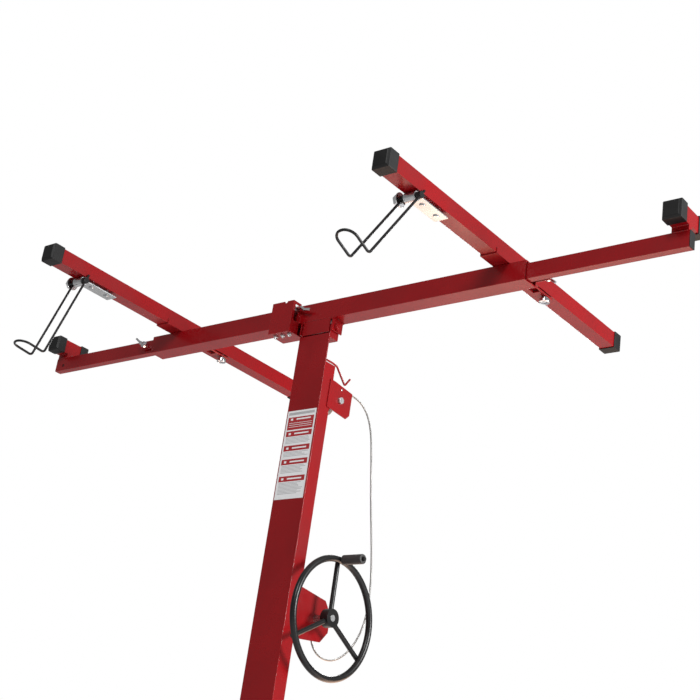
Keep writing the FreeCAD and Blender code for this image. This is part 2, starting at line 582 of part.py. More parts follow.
# ---------------------------------------------------------------- lift cable
CABLE_ROUTE = [
    (0, 46.0, 1382.6), (0, 80.0, 1394.0), (0, 119.0, 1405.5), (0, 160.0, 1411.0), (0, 201.0, 1404.0),
    (0, 233.0, 1380.0), (0, 254.0, 1340.0), (0, 267.0, 1285.0), (0, 279.0, 1222.0),
    (0, 293.0, 1157.0), (0, 309.0, 1092.0), (0, 324.0, 1028.0), (0, 335.0, 965.0), (0, 338.0, 905.0),
    (0, 328.0, 848.0), (0, 303.0, 798.0), (0, 266.0, 760.0), (0, 225.0, 739.0), (0, 185.0, 736.0),
    (0, 153.0, 749.0), (0, 134.0, 776.0), (0, 134.0, 806.0),
]


CABLE_FOOT, CABLE_SPAN = 812.0, 538.0  # winch height and pulley's rise above it, for which it is drawn
CABLE_FREE = (848.0, 1340.0)  # heights between which it stretches when that rise changes


def cable_height(height):
    pulley = SIZES["mast_front_top"] - SIZES["bracket_drop"] - SIZES["pulley_drop"]
    rise = pulley - SIZES["winch_height"] - CABLE_SPAN
    low, high = CABLE_FREE
    share = min(max((height - low) / (high - low), 0), 1)
    return height + SIZES["winch_height"] - CABLE_FOOT + rise * share


def make_cable():
    route = [(x, y, cable_height(z)) for x, y, z in CABLE_ROUTE]
    path = rounded_path(route, [None] * (len(route) - 2), "cable")
    cable = swept(path, SIZES["cable_radius"])
    expected = math.pi * SIZES["cable_radius"] ** 2 * path.Length
    print("cable length", round(path.Length, 1), "volume ratio", round(cable.Shape.Volume / expected, 5))
    node("lift_cable", cable)


# ---------------------------------------------------------------- winch
def make_winch():
    centre = ("winch_place", "winch_height")
    points = [("mast_deep / 2", "winch_height - 62"), ("winch_place + 28", "winch_height - 50"),
              ("winch_place + 52", "winch_height - 22"), ("winch_place + 52", "winch_height + 22"),
              ("winch_place + 28", "winch_height + 50"), ("mast_deep / 2", "winch_height + 62")]
    cheeks = [outline_plate(points, "winch_plate", (start, "0", "0"))
              for start in ("-winch_half - winch_plate", "winch_half")]
    base = box(("2 * winch_half", "winch_plate", "124"), ("-winch_half", "mast_deep / 2",
                                                         "winch_height - 62"))
    guide_y = "winch_place + winding_radius + cable_radius + 3.6"
    bar = rod("4", "2 * winch_half", ("-winch_half", f"{guide_y} + 6", "winch_height - 10"), "x")
    guide = rod("cable_radius + 3", "22", ("0", guide_y, "winch_height - 22"))
    guide_bore = rod("cable_radius + 0.4", "18", ("0", guide_y, "winch_height - 23"))
    bore = rod("shaft_radius + running_fit", "3 * winch_half + 40", ("-winch_half - 30", *centre), "x")
    pawl_hole = rod("4", "winch_plate + 2", ("-winch_half - winch_plate - 1", "winch_place - 36",
                                             "winch_height + 38"), "x")
    node("winch_frame", cut(fuse(*cheeks, base, bar, guide), bore, pawl_hole, guide_bore))

    inside = "(winch_half - side_gap)"
    core = rod("drum_radius", f"2 * {inside}", (f"-{inside}", *centre), "x")
    flanges = [rod("drum_flange", "3", (start, *centre), "x")
               for start in (f"-{inside}", f"{inside} - 3")]
    turns = rod("winding_radius", f"2 * {inside} - 26", (f"-{inside} + 13", *centre), "x")
    hole = rod("shaft_radius", "3 * winch_half", ("-winch_half - 1", *centre), "x")
    node("winch_drum", cut(fuse(core, *flanges, turns), hole))

    ratchet = fresh("Part::Prism", "ratchet")
    ratchet.Polygon = 16
    ratchet.Circumradius = 30
    ratchet.Height = 5
    place(ratchet, ("-winch_half - winch_plate - side_gap - 5", *centre), *TURNS["x"])
    shaft = rod("shaft_radius", "hand_wheel_place + winch_half + winch_plate + 16",
                ("-winch_half - winch_plate - 14", *centre), "x")
    node("winch_shaft", fuse(shaft, ratchet))

    hub = rod("22", "22", ("hand_wheel_place - 20", *centre), "x")
    rim = fresh("Part::Torus", "rim")
    rim.setExpression("Radius1", cell("hand_wheel_radius"))
    rim.setExpression("Radius2", cell("hand_wheel_rim"))
    place(rim, ("hand_wheel_place", *centre), Vector(0, 1, 0), 90)
    spokes = []
    for angle in (90, 210, 330):
        spoke = rod("6", "hand_wheel_radius", ("0", "0", "0"))
        spokes.append(place(spoke, ("hand_wheel_place - 8", *centre), Vector(1, 0, 0), angle - 90))
    hub_bore = rod("shaft_radius", "60", ("hand_wheel_place - 40", *centre), "x")
    grip_y, grip_z = "winch_place", "winch_height + hand_wheel_radius"
    pin = rod("5", "74", ("hand_wheel_place", grip_y, grip_z), "x")
    node("hand_wheel", fuse(cut(fuse(hub, rim, *spokes), hub_bore), pin))
    grip = cut(rod("12", "60", ("hand_wheel_place + hand_wheel_rim + 1", grip_y, grip_z), "x"),
               rod("5 + running_fit", "80", ("hand_wheel_place - 2", grip_y, grip_z), "x"))
    node("wheel_grip", grip)

    pawl_y, pawl_z = "winch_place - 36", "winch_height + 38"
    outer = "(-winch_half - winch_plate)"
    eye = rod("9", "5", (f"{outer} - side_gap - 5", pawl_y, pawl_z), "x")
    finger = place(box(("5", "9", "30"), ("0", "0", "0")), (f"{outer} - side_gap - 5", pawl_y, pawl_z),
                   Vector(1, 0, 0), -82)
    pin = rod("4 - running_fit", "14", (f"{outer} - side_gap - 6", pawl_y, pawl_z), "x")
    node("brake_pawl", fuse(eye, finger, pin))


# ---------------------------------------------------------------- tripod
LEGS = {"rear": 0.0, "left": 120.0, "right": -120.0}


def turned(item, angle):
    """Turn a piece that was built for the rear leg about the mast's axis."""
    return place(item, ("0", "0", "0"), Vector(0, 0, 1), angle)


def make_tripod():
    half_wide = "(mast_wide / 2 + hub_wall)"
    half_deep = "(mast_deep / 2 + hub_wall)"
    sleeve = box((f"2 * {half_wide}", f"2 * {half_deep}", "hub_top - hub_foot"),
                 (f"-{half_wide}", f"-{half_deep}", "hub_foot"))
    socket_side = "(leg_side + 2 * side_gap + 2 * socket_wall)"
    socket_low = f"leg_height - {socket_side} / 2"
    sockets, screws = [], []
    for name, angle in LEGS.items():
        outside = box((socket_side, "socket_reach", socket_side), (f"-{socket_side} / 2", "0", socket_low))
        start = "mast_deep / 2 + hub_wall + 4" if name == "rear" else "mast_wide / 2 + hub_wall + 12"
        inside = box(("leg_side + 2 * side_gap", "socket_reach", "leg_side + 2 * side_gap"),
                     ("-leg_side / 2 - side_gap", start, "leg_height - leg_side / 2 - side_gap"))
        top = f"leg_height + {socket_side} / 2"
        boss = rod("11", "8", ("0", "screw_place", f"{top} - 1"))
        tapped = rod("screw_radius", "20", ("0", "screw_place", f"{top} - socket_wall - 1"))
        sockets.append(turned(cut(fuse(outside, boss), inside, tapped), angle))
        shank = rod("screw_radius", "16", ("0", "screw_place", "leg_height + leg_side / 2 + 2 * side_gap"))
        head = hexagon("17", "7", ("0", "screw_place", f"{top} + 7"), "z")
        screws.append(turned(fuse(shank, head), angle))
    well = box(("mast_wide", "mast_deep", "hub_top"), ("-mast_wide / 2", "-mast_deep / 2", "mast_foot"))
    node("base_hub", cut(fuse(sleeve, *sockets), well))
    group = fresh("Part::Compound", "screws")
    group.Links = screws
    node("leg_clamp_screws", group)

    for name, angle in LEGS.items():
        make_leg(name, angle)


def make_leg(name, angle):
    low = "(leg_height - leg_side / 2)"
    home = ("0", "0", "0")
    upright = Vector(0, 0, 1)
    tube = tube_y("leg_side", "leg_wall", "leg_outer - leg_inner", ("-leg_side / 2", "leg_inner", low))
    stem_hole = rod("stem_radius + running_fit", "leg_wall + 2", ("0", "castor_place", f"{low} - 1"))
    plug = box(("leg_side", "3", "leg_side"), ("-leg_side / 2", "leg_outer", low))
    node(f"{name}_leg", cut(fuse(tube, plug), stem_hole), home, upright, angle)

    axle_y = "(castor_place + castor_trail)"
    half = "(wheel_thick / 2 + 1)"
    crown = rod("23", "5", ("0", "castor_place", f"{low} - 8"))
    race = rod("15", "3 - side_gap", ("0", "castor_place", f"{low} - 3"))
    stem = rod("stem_radius", "18", ("0", "castor_place", f"{low} - 4"))
    cheeks = [box(("fork_plate", "38", f"{low} - wheel_radius + 2"),
                  (start, "castor_place - 9", "wheel_radius - 10"))
              for start in (half, f"-{half} - fork_plate")]
    bridge = box((f"2 * {half} + 2 * fork_plate", "38", "3"),
                 (f"-{half} - fork_plate", "castor_place - 9", f"{low} - 8"))
    axle = rod("5", f"2 * {half} + 14", (f"-{half} - 7", axle_y, "wheel_radius"), "x")
    fork = fuse(crown, race, stem, *cheeks, bridge, axle)
    node(f"{name}_castor_fork", fork, home, upright, angle)

    wheel = cut(rod("wheel_radius", "wheel_thick", ("-wheel_thick / 2", axle_y, "wheel_radius"), "x"),
                rod("5 + running_fit", "wheel_thick + 2", ("-wheel_thick / 2 - 1", axle_y, "wheel_radius"),
                    "x"))
    node(f"{name}_castor_wheel", wheel, home, upright, angle)


# ---------------------------------------------------------------- build, check, write
make_tripod()
make_mast()
make_winch()
make_pulley()
make_cable()
make_head()
make_beam()
make_latch_box()
for side_name, side_sign in SIDES.items():
    make_outrigger(side_name, side_sign, f"{side_name}_reach")
    make_arm(side_name, side_sign, SIZES[f"{side_name}_lean"])

doc.recompute()

for item in doc.Objects:
    if "Invalid" in item.State or "Error" in item.State:
        raise RuntimeError(f"{item.Name} ({item.Label}) failed: {item.State}")
for item in NODES:
    if item.Shape.isNull() or not item.Shape.isValid() or item.Shape.Volume <= 0:
        raise RuntimeError(f"{item.Label} has no valid shape")

os.makedirs("parts", exist_ok=True)
for item in NODES:
    item.Shape.exportStep(os.path.join("parts", item.Label + ".step"))
print(len(NODES), "sub-parts written")
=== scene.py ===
"""Drywall lift: the finished look of a tripod lift with a hand winch and a tilting cradle."""
import json
import logging
import math
import random
from dataclasses import dataclass, field
from enum import Enum
from typing import Iterable, Sequence

import bpy
from mathutils import Matrix, Vector

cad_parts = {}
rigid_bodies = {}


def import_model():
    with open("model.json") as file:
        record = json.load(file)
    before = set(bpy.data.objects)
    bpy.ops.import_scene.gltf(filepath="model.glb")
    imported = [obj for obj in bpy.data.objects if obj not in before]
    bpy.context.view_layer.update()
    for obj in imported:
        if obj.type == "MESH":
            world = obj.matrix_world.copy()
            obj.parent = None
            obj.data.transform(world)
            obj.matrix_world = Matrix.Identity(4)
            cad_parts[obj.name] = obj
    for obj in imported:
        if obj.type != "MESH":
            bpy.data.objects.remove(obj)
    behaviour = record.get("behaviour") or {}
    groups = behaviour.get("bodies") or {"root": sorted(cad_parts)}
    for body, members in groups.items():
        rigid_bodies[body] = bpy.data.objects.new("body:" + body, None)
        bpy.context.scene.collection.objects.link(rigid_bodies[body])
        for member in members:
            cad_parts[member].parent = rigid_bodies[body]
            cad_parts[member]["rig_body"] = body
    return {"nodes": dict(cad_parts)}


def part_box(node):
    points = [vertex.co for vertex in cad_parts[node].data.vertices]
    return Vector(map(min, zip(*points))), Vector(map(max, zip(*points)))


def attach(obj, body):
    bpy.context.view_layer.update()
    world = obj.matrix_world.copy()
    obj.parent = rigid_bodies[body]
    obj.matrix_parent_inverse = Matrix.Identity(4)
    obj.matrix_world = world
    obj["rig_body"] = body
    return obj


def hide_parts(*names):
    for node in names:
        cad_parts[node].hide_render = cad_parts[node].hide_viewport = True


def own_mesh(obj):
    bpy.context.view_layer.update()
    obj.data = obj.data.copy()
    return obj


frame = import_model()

logging.basicConfig(level=logging.INFO, format="%(message)s")
LOG = logging.getLogger("drywall_lift")
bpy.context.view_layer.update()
MM = 0.001
Colour = tuple[float, float, float]
Point = Sequence[float]


# ---------------------------------------------------------------- bench: modelling by operators
def deselect() -> None:
    """Leave object mode with nothing selected."""
    if bpy.context.mode != "OBJECT":
        bpy.ops.object.mode_set(mode="OBJECT")
    for item in bpy.context.selected_objects:
        item.select_set(False)


def hold(piece: bpy.types.Object) -> bpy.types.Object:
    """Make a piece the only selected and active one.

    Args:
        piece: The piece to work on.

    Returns:
        The same piece.
    """
    deselect()
    piece.select_set(True)
    bpy.context.view_layer.objects.active = piece
    return piece


def settle(piece: bpy.types.Object, name: str) -> bpy.types.Object:
    """Name a piece and move its place into its mesh.

    Args:
        piece: The piece just made.
        name: Its name.

    Returns:
        The same piece, at the origin, unturned and unscaled.
    """
    hold(piece)
    bpy.ops.object.transform_apply(location=True, rotation=True, scale=True)
    piece.name = name
    piece.data.name = name
    return piece


def block(name: str, low: Point, high: Point) -> bpy.types.Object:
    """Add a cuboid between two corners.

    Args:
        name: The piece's name.
        low: Lowest corner, in metres.
        high: Highest corner, in metres.

    Returns:
        The cuboid, ready to be shaped.
    """
    deselect()
    low, high = Vector(low), Vector(high)
    bpy.ops.mesh.primitive_cube_add(size=1, location=(low + high) / 2)
    bpy.context.object.scale = high - low
    return settle(bpy.context.object, name)


def round_off(piece: bpy.types.Object, width: float, segments: int = 2, angle: float = 32.0) -> None:
    """Bevel a piece's corners and smooth its shading.

    Args:
        piece: The piece.
        width: Width of the bevel.
        segments: Steps across it.
        angle: Corners sharper than this many degrees are taken.
    """
    hold(piece)
    bevel = piece.modifiers.new("corners", "BEVEL")
    bevel.width = width
    bevel.segments = segments
    bevel.limit_method = "ANGLE"
    bevel.angle_limit = math.radians(angle)
    bevel.use_clamp_overlap = True
    bevel.miter_outer = "MITER_ARC"
    bpy.ops.object.modifier_apply(modifier=bevel.name)
    bpy.ops.object.shade_smooth_by_angle(angle=math.radians(angle))
    flats = piece.modifiers.new("flat_faces", "WEIGHTED_NORMAL")
    flats.weight = 100
    flats.keep_sharp = True
    bpy.ops.object.modifier_apply(modifier=flats.name)


def join(parts: Iterable[bpy.types.Object], name: str) -> bpy.types.Object:
    """Join parts into one piece.

    Args:
        parts: The parts, of which the first keeps its object.
        name: The piece's name.

    Returns:
        The joined piece.
    """
    parts = list(parts)
    hold(parts[0])
    for part in parts[1:]:
        part.select_set(True)
    bpy.ops.object.join()
    parts[0].name = name
    parts[0].data.name = name
    return parts[0]


def copy_of(piece: bpy.types.Object, name: str, change: Matrix) -> bpy.types.Object:
    """Copy a piece with its own mesh, moved by a matrix.

    Args:
        piece: The piece to copy.
        name: The copy's name.
        change: Where the copy goes.

    Returns:
        The copy, with its place in its mesh.
    """
    twin = bpy.data.objects.new(name, piece.data.copy())
    bpy.context.scene.collection.objects.link(twin)
    twin.matrix_world = change
    settle(twin, name)
    if change.determinant() < 0:
        bpy.ops.object.mode_set(mode="EDIT")
        bpy.ops.mesh.select_all(action="SELECT")
        bpy.ops.mesh.normals_make_consistent(inside=False)
        deselect()
    return twin


def turned(name: str, profile: Sequence[Point], centre: Point, axis: Point,
           steps: int = 64) -> bpy.types.Object:
    """Turn an open profile round an axis, as on a lathe.

    Args:
        name: The piece's name.
        profile: The profile's points, of which the ends are on the axis or meet.
        centre: A point on the axis.
        axis: Direction of the axis.
        steps: Number of steps round it.

    Returns:
        The turned piece, closed and facing outwards.
    """
    deselect()
    points = [Vector(point) for point in profile]
    bpy.ops.mesh.primitive_plane_add(size=MM, location=points[0])
    piece = bpy.context.object
    bpy.ops.object.mode_set(mode="EDIT")
    bpy.ops.mesh.select_mode(type="VERT")
    bpy.ops.mesh.select_all(action="SELECT")
    bpy.ops.mesh.merge(type="CENTER")
    for here, there in zip(points, points[1:]):
        bpy.ops.mesh.extrude_region_move(TRANSFORM_OT_translate={"value": there - here})
    bpy.ops.mesh.select_all(action="SELECT")
    bpy.ops.mesh.spin(steps=steps, angle=2 * math.pi, center=Vector(centre), axis=Vector(axis))
    bpy.ops.mesh.select_all(action="SELECT")
    bpy.ops.mesh.remove_doubles(threshold=0.01 * MM)
    bpy.ops.mesh.normals_make_consistent(inside=False)
    bpy.ops.object.mode_set(mode="OBJECT")
    settle(piece, name)
    bpy.ops.object.shade_smooth_by_angle(angle=math.radians(32))
    return piece


def coiled(name: str, start: Point, axis: Vector, radius: float, wire: float, pitch: float,
           turns: float, steps: int = 32) -> bpy.types.Object:
    """Wind a round wire into a helix along an axis.

    Args:
        name: The piece's name.
        start: Point on the axis where the first turn begins.
        axis: Direction of the axis.
        radius: From the axis to the wire's middle.
        wire: Radius of the wire.
        pitch: Rise in one turn.
        turns: How many turns.
        steps: Steps in one turn.

    Returns:
        The coil, closed at both ends.
    """
    deselect()
    bpy.ops.mesh.primitive_circle_add(vertices=10, radius=wire, fill_type="NOTHING",
                                      location=(radius, 0, 0), rotation=(math.pi / 2, 0, 0))
    piece = settle(bpy.context.object, name)
    screw = piece.modifiers.new("winding", "SCREW")
    screw.axis = "Z"
    screw.angle = 2 * math.pi * turns
    screw.screw_offset = pitch * turns
    screw.steps = screw.render_steps = int(steps * turns)
    bpy.ops.object.modifier_apply(modifier=screw.name)
    bpy.ops.object.mode_set(mode="EDIT")
    bpy.ops.mesh.select_all(action="SELECT")
    bpy.ops.mesh.fill_holes(sides=10)
    bpy.ops.mesh.select_all(action="SELECT")
    bpy.ops.mesh.normals_make_consistent(inside=False)
    bpy.ops.object.mode_set(mode="OBJECT")
    turn = Vector((0, 0, 1)).rotation_difference(axis)
    piece.matrix_world = Matrix.Translation(start) @ turn.to_matrix().to_4x4()
    settle(piece, name)
    bpy.ops.object.shade_smooth_by_angle(angle=math.radians(50))
    return piece


def weld_bead(name: str, start: Point, end: Point, radius: float, ripple: float,
              dice: random.Random) -> bpy.types.Object:
    """Lay a rippled weld bead from one point to another.

    Args:
        name: The piece's name.
        start: Where the bead begins.
        end: Where it ends.
        radius: Mean radius of the bead.
        ripple: Distance between ripples.
        dice: Seeded random numbers for the uneven ripples.

    Returns:
        The bead, half sunk into the joint it fills.
    """
    deselect()
    start, end = Vector(start), Vector(end)
    length = (end - start).length
    count = max(3, int(length / ripple))
    bpy.ops.mesh.primitive_circle_add(vertices=10, radius=0.5 * radius, fill_type="NGON")
    bead = bpy.context.object
    bpy.ops.object.mode_set(mode="EDIT")
    size = 0.5
    for number in range(2 * count):
        wanted = 1.0 + 0.16 * dice.random() if number % 2 else 0.8 + 0.1 * dice.random()
        wanted = 0.5 if number == 2 * count - 1 else wanted
        bpy.ops.mesh.extrude_region_move(
            TRANSFORM_OT_translate={"value": (0, 0, length / (2 * count))})
        bpy.ops.transform.resize(value=(wanted / size, wanted / size, 1))
        size = wanted
    bpy.ops.mesh.select_all(action="SELECT")
    bpy.ops.mesh.normals_make_consistent(inside=False)
    bpy.ops.object.mode_set(mode="OBJECT")
    turn = Vector((0, 0, 1)).rotation_difference(end - start)
    bead.matrix_world = Matrix.Translation(start) @ turn.to_matrix().to_4x4()
    settle(bead, name)
    bpy.ops.object.shade_smooth_by_angle(angle=math.radians(60))
    return bead


# ---------------------------------------------------------------- shaders
class Wiring:
    """Short calls for filling one node tree."""

    def __init__(self, tree: bpy.types.NodeTree) -> None:
        """Take the tree to fill."""
        self.tree = tree

    def put(self, kind: str, sockets: dict | None = None, **settings: object) -> bpy.types.Node:
        """Add a node, then set or join its inputs.

        Args:
            kind: The node's type, without its ShaderNode prefix.
            sockets: Input name or number to a value or to another node's output.
            **settings: Attributes set on the node.

        Returns:
            The node.
        """
        node = self.tree.nodes.new("ShaderNode" + kind)
        for name, value in settings.items():
            setattr(node, name, value)
        for name, value in (sockets or {}).items():
            if isinstance(value, bpy.types.NodeSocket):
                self.tree.links.new(value, node.inputs[name])
            else:
                node.inputs[name].default_value = value
        return node

    def noise(self, coords: bpy.types.NodeSocket, scale: float,
              detail: float = 3.0) -> bpy.types.NodeSocket:
        """Return the value of a noise at a scale, per metre."""
        return self.put("TexNoise", {"Vector": coords, "Scale": scale, "Detail": detail}).outputs[0]

    def span(self, value: bpy.types.NodeSocket, low: float, high: float, out_low: float = 0.0,
             out_high: float = 1.0) -> bpy.types.NodeSocket:
        """Return a value stretched from one range to another and held there."""
        return self.put("MapRange", {0: value, 1: low, 2: high, 3: out_low, 4: out_high}).outputs[0]

    def maths(self, way: str, first: object, second: object) -> bpy.types.NodeSocket:
        """Return one sum of two values."""
        return self.put("Math", {0: first, 1: second}, operation=way).outputs[0]

    def blend(self, share: object, first: object, second: object) -> bpy.types.NodeSocket:
        """Return the mix of two colours."""
        return self.put("Mix", {0: share, 6: first, 7: second}, data_type="RGBA").outputs[2]


def new_group(name: str, inputs: dict[str, tuple[str, float]], outputs: dict[str, str]) -> tuple:
    """Start a shader node group.

    Args:
        name: The group's name.
        inputs: Name to socket type and default.
        outputs: Name to socket type.

    Returns:
        The group, its wiring, its input node and its output node.
    """
    group = bpy.data.node_groups.new(name, "ShaderNodeTree")
    for label, (kind, default) in inputs.items():
        socket = group.interface.new_socket(label, in_out="INPUT", socket_type=kind)
        if kind == "NodeSocketFloat":
            socket.default_value = default
    for label, kind in outputs.items():
        group.interface.new_socket(label, in_out="OUTPUT", socket_type=kind)
    wiring = Wiring(group)
    entry = group.nodes.new("NodeGroupInput")
    leave = group.nodes.new("NodeGroupOutput")
    return group, wiring, entry, leave


def edge_wear_group() -> bpy.types.NodeTree:
    """Build the mask of handling wear, broken up along sharp corners.

    Returns:
        The group, with outputs Mask and Rubbed.
    """
    group, wiring, entry, leave = new_group(
        "edge_wear", {"Amount": ("NodeSocketFloat", 0.4), "Breakup": ("NodeSocketFloat", 90.0)},
        {"Mask": "NodeSocketFloat", "Rubbed": "NodeSocketFloat"})
    coords = wiring.put("TexCoord").outputs["Object"]
    flat = wiring.put("NewGeometry").outputs["Normal"]
    rounded = wiring.put("Bevel", {"Radius": 1.6 * MM}, samples=6).outputs[0]
    match = wiring.put("VectorMath", {0: flat, 1: rounded}, operation="DOT_PRODUCT").outputs["Value"]
    corner = wiring.span(match, 0.995, 0.9)
    patches = wiring.put("TexNoise", {"Vector": coords, "Scale": entry.outputs["Breakup"],
                                      "Detail": 6.0, "Roughness": 0.65}).outputs[0]
    broken = wiring.span(patches, 0.52, 0.66)
    chipped = wiring.maths("MULTIPLY", wiring.maths("MULTIPLY", corner, broken), entry.outputs["Amount"])
    wiring.tree.links.new(chipped, leave.inputs["Mask"])
    rubbed = wiring.maths("MULTIPLY", corner, wiring.span(patches, 0.4, 0.6))
    wiring.tree.links.new(rubbed, leave.inputs["Rubbed"])
    return group


def dust_group() -> bpy.types.NodeTree:
    """Build the mask of plaster dust, thickest on faces that look up.

    Returns:
        The group, with output Mask.
    """
    group, wiring, entry, leave = new_group(
        "plaster_dust", {"Amount": ("NodeSocketFloat", 0.2), "Scale": ("NodeSocketFloat", 14.0)},
        {"Mask": "NodeSocketFloat"})
    coords = wiring.put("TexCoord").outputs["Object"]
    normal = wiring.put("NewGeometry").outputs["Normal"]
    up = wiring.span(wiring.put("SeparateXYZ", {0: normal}).outputs[2], -0.2, 1.0, 0.12, 1.0)
    drift = wiring.put("TexNoise", {"Vector": coords, "Scale": entry.outputs["Scale"], "Detail": 8.0,
                                    "Roughness": 0.7}).outputs[0]
    mask = wiring.maths("MULTIPLY", wiring.maths("MULTIPLY", up, wiring.span(drift, 0.42, 0.78)),
                        entry.outputs["Amount"])
    wiring.tree.links.new(mask, leave.inputs["Mask"])
    return group


class Surface(Enum):
    """Fine surface of a finish, which its bump and gloss follow."""

    ORANGE_PEEL = "orange_peel"
    SPANGLE = "spangle"
    MOULDED = "moulded"
    SCRATCHED = "scratched"
    DRAWN = "drawn"


@dataclass(frozen=True)
class Finish:
    """One finish: colours, gloss, fine surface, wear and dust, in metres or per metre."""

    name: str
    slot: str
    colour: Colour
    second: Colour
    surface: Surface
    rough: tuple[float, float] = (0.3, 0.45)
    metallic: float = 0.0
    coat: float = 0.0
    shine: float = 0.5
    grain_scale: float = 500.0
    grain_depth: float = 0.00005
    grain_strength: float = 0.25
    blotch_scale: float = 9.0
    worn: Colour = (0.25, 0.24, 0.23)
    wear: float = 0.0
    dust: float = 0.12
    dust_colour: Colour = (0.62, 0.6, 0.57)

    def height(self, wiring: Wiring, coords: bpy.types.NodeSocket) -> bpy.types.NodeSocket:
        """Make the height of the fine surface.

        Args:
            wiring: The material's wiring.
            coords: Object coordinates.

        Returns:
            Height from 0 to 1.
        """
        if self.surface is Surface.ORANGE_PEEL:
            return wiring.noise(coords, self.grain_scale, 1.5)
        if self.surface is Surface.SPANGLE:
            cells = wiring.put("TexVoronoi", {"Vector": coords, "Scale": self.grain_scale})
            return wiring.put("SeparateColor", {0: cells.outputs["Color"]}).outputs[0]
        if self.surface is Surface.MOULDED:
            pits = wiring.put("TexVoronoi", {"Vector": coords, "Scale": self.grain_scale},
                              feature="SMOOTH_F1")
            return wiring.maths("ADD", pits.outputs["Distance"],
                                wiring.noise(coords, self.grain_scale / 3))
        squeeze = (1.0, 1.0, 0.04) if self.surface is Surface.DRAWN else (1.0, 0.06, 1.0)
        long_way = wiring.put("Mapping", {"Vector": coords, "Scale": squeeze}).outputs[0]
        return wiring.noise(long_way, self.grain_scale, 4.0)

    def build(self, groups: "Effects") -> bpy.types.Material:
        """Make the material.

        Args:
            groups: The shared effects.

        Returns:
            The material, ready to be assigned.
        """
        material = bpy.data.materials.new(self.name)
        material.use_nodes = True
        material.node_tree.nodes.clear()
        wiring = Wiring(material.node_tree)
        coords = wiring.put("TexCoord").outputs["Object"]
        height = self.height(wiring, coords)
        blotch = wiring.span(wiring.noise(coords, self.blotch_scale, 6.0), 0.34, 0.68)
        wear = wiring.put("Group", node_tree=groups.edge_wear)
        wear.inputs["Amount"].default_value = self.wear
        dust = wiring.put("Group", node_tree=groups.dust)
        dust.inputs["Amount"].default_value = self.dust
        colour = wiring.blend(blotch, (*self.colour, 1), (*self.second, 1))
        colour = wiring.blend(wear.outputs["Mask"], colour, (*self.worn, 1))
        colour = wiring.blend(dust.outputs["Mask"], colour, (*self.dust_colour, 1))
        mottle = wiring.maths("ADD", wiring.maths("MULTIPLY", blotch, 0.6),
                              wiring.maths("MULTIPLY", height, 0.4))
        rough = wiring.span(mottle, 0.1, 0.9, *self.rough)
        rough = wiring.maths("ADD", rough, wiring.maths("MULTIPLY", dust.outputs["Mask"], 0.5))
        rough = wiring.maths("ADD", rough, wiring.maths("MULTIPLY", wear.outputs["Rubbed"], 0.06))
        bump = wiring.put("Bump", {"Height": height, "Distance": self.grain_depth,
                                   "Strength": self.grain_strength})
        shader = wiring.put("BsdfPrincipled", {
            "Base Color": colour, "Roughness": rough, "Metallic": self.metallic,
            "Coat Weight": self.coat, "Coat Roughness": 0.08, "Specular IOR Level": self.shine,
            "Normal": bump.outputs[0]})
        out = wiring.put("OutputMaterial")
        wiring.tree.links.new(shader.outputs[0], out.inputs["Surface"])
        return material


@dataclass
class Effects:
    """The shader groups that several finishes share."""

    edge_wear: bpy.types.NodeTree = field(default_factory=edge_wear_group)
    dust: bpy.types.NodeTree = field(default_factory=dust_group)


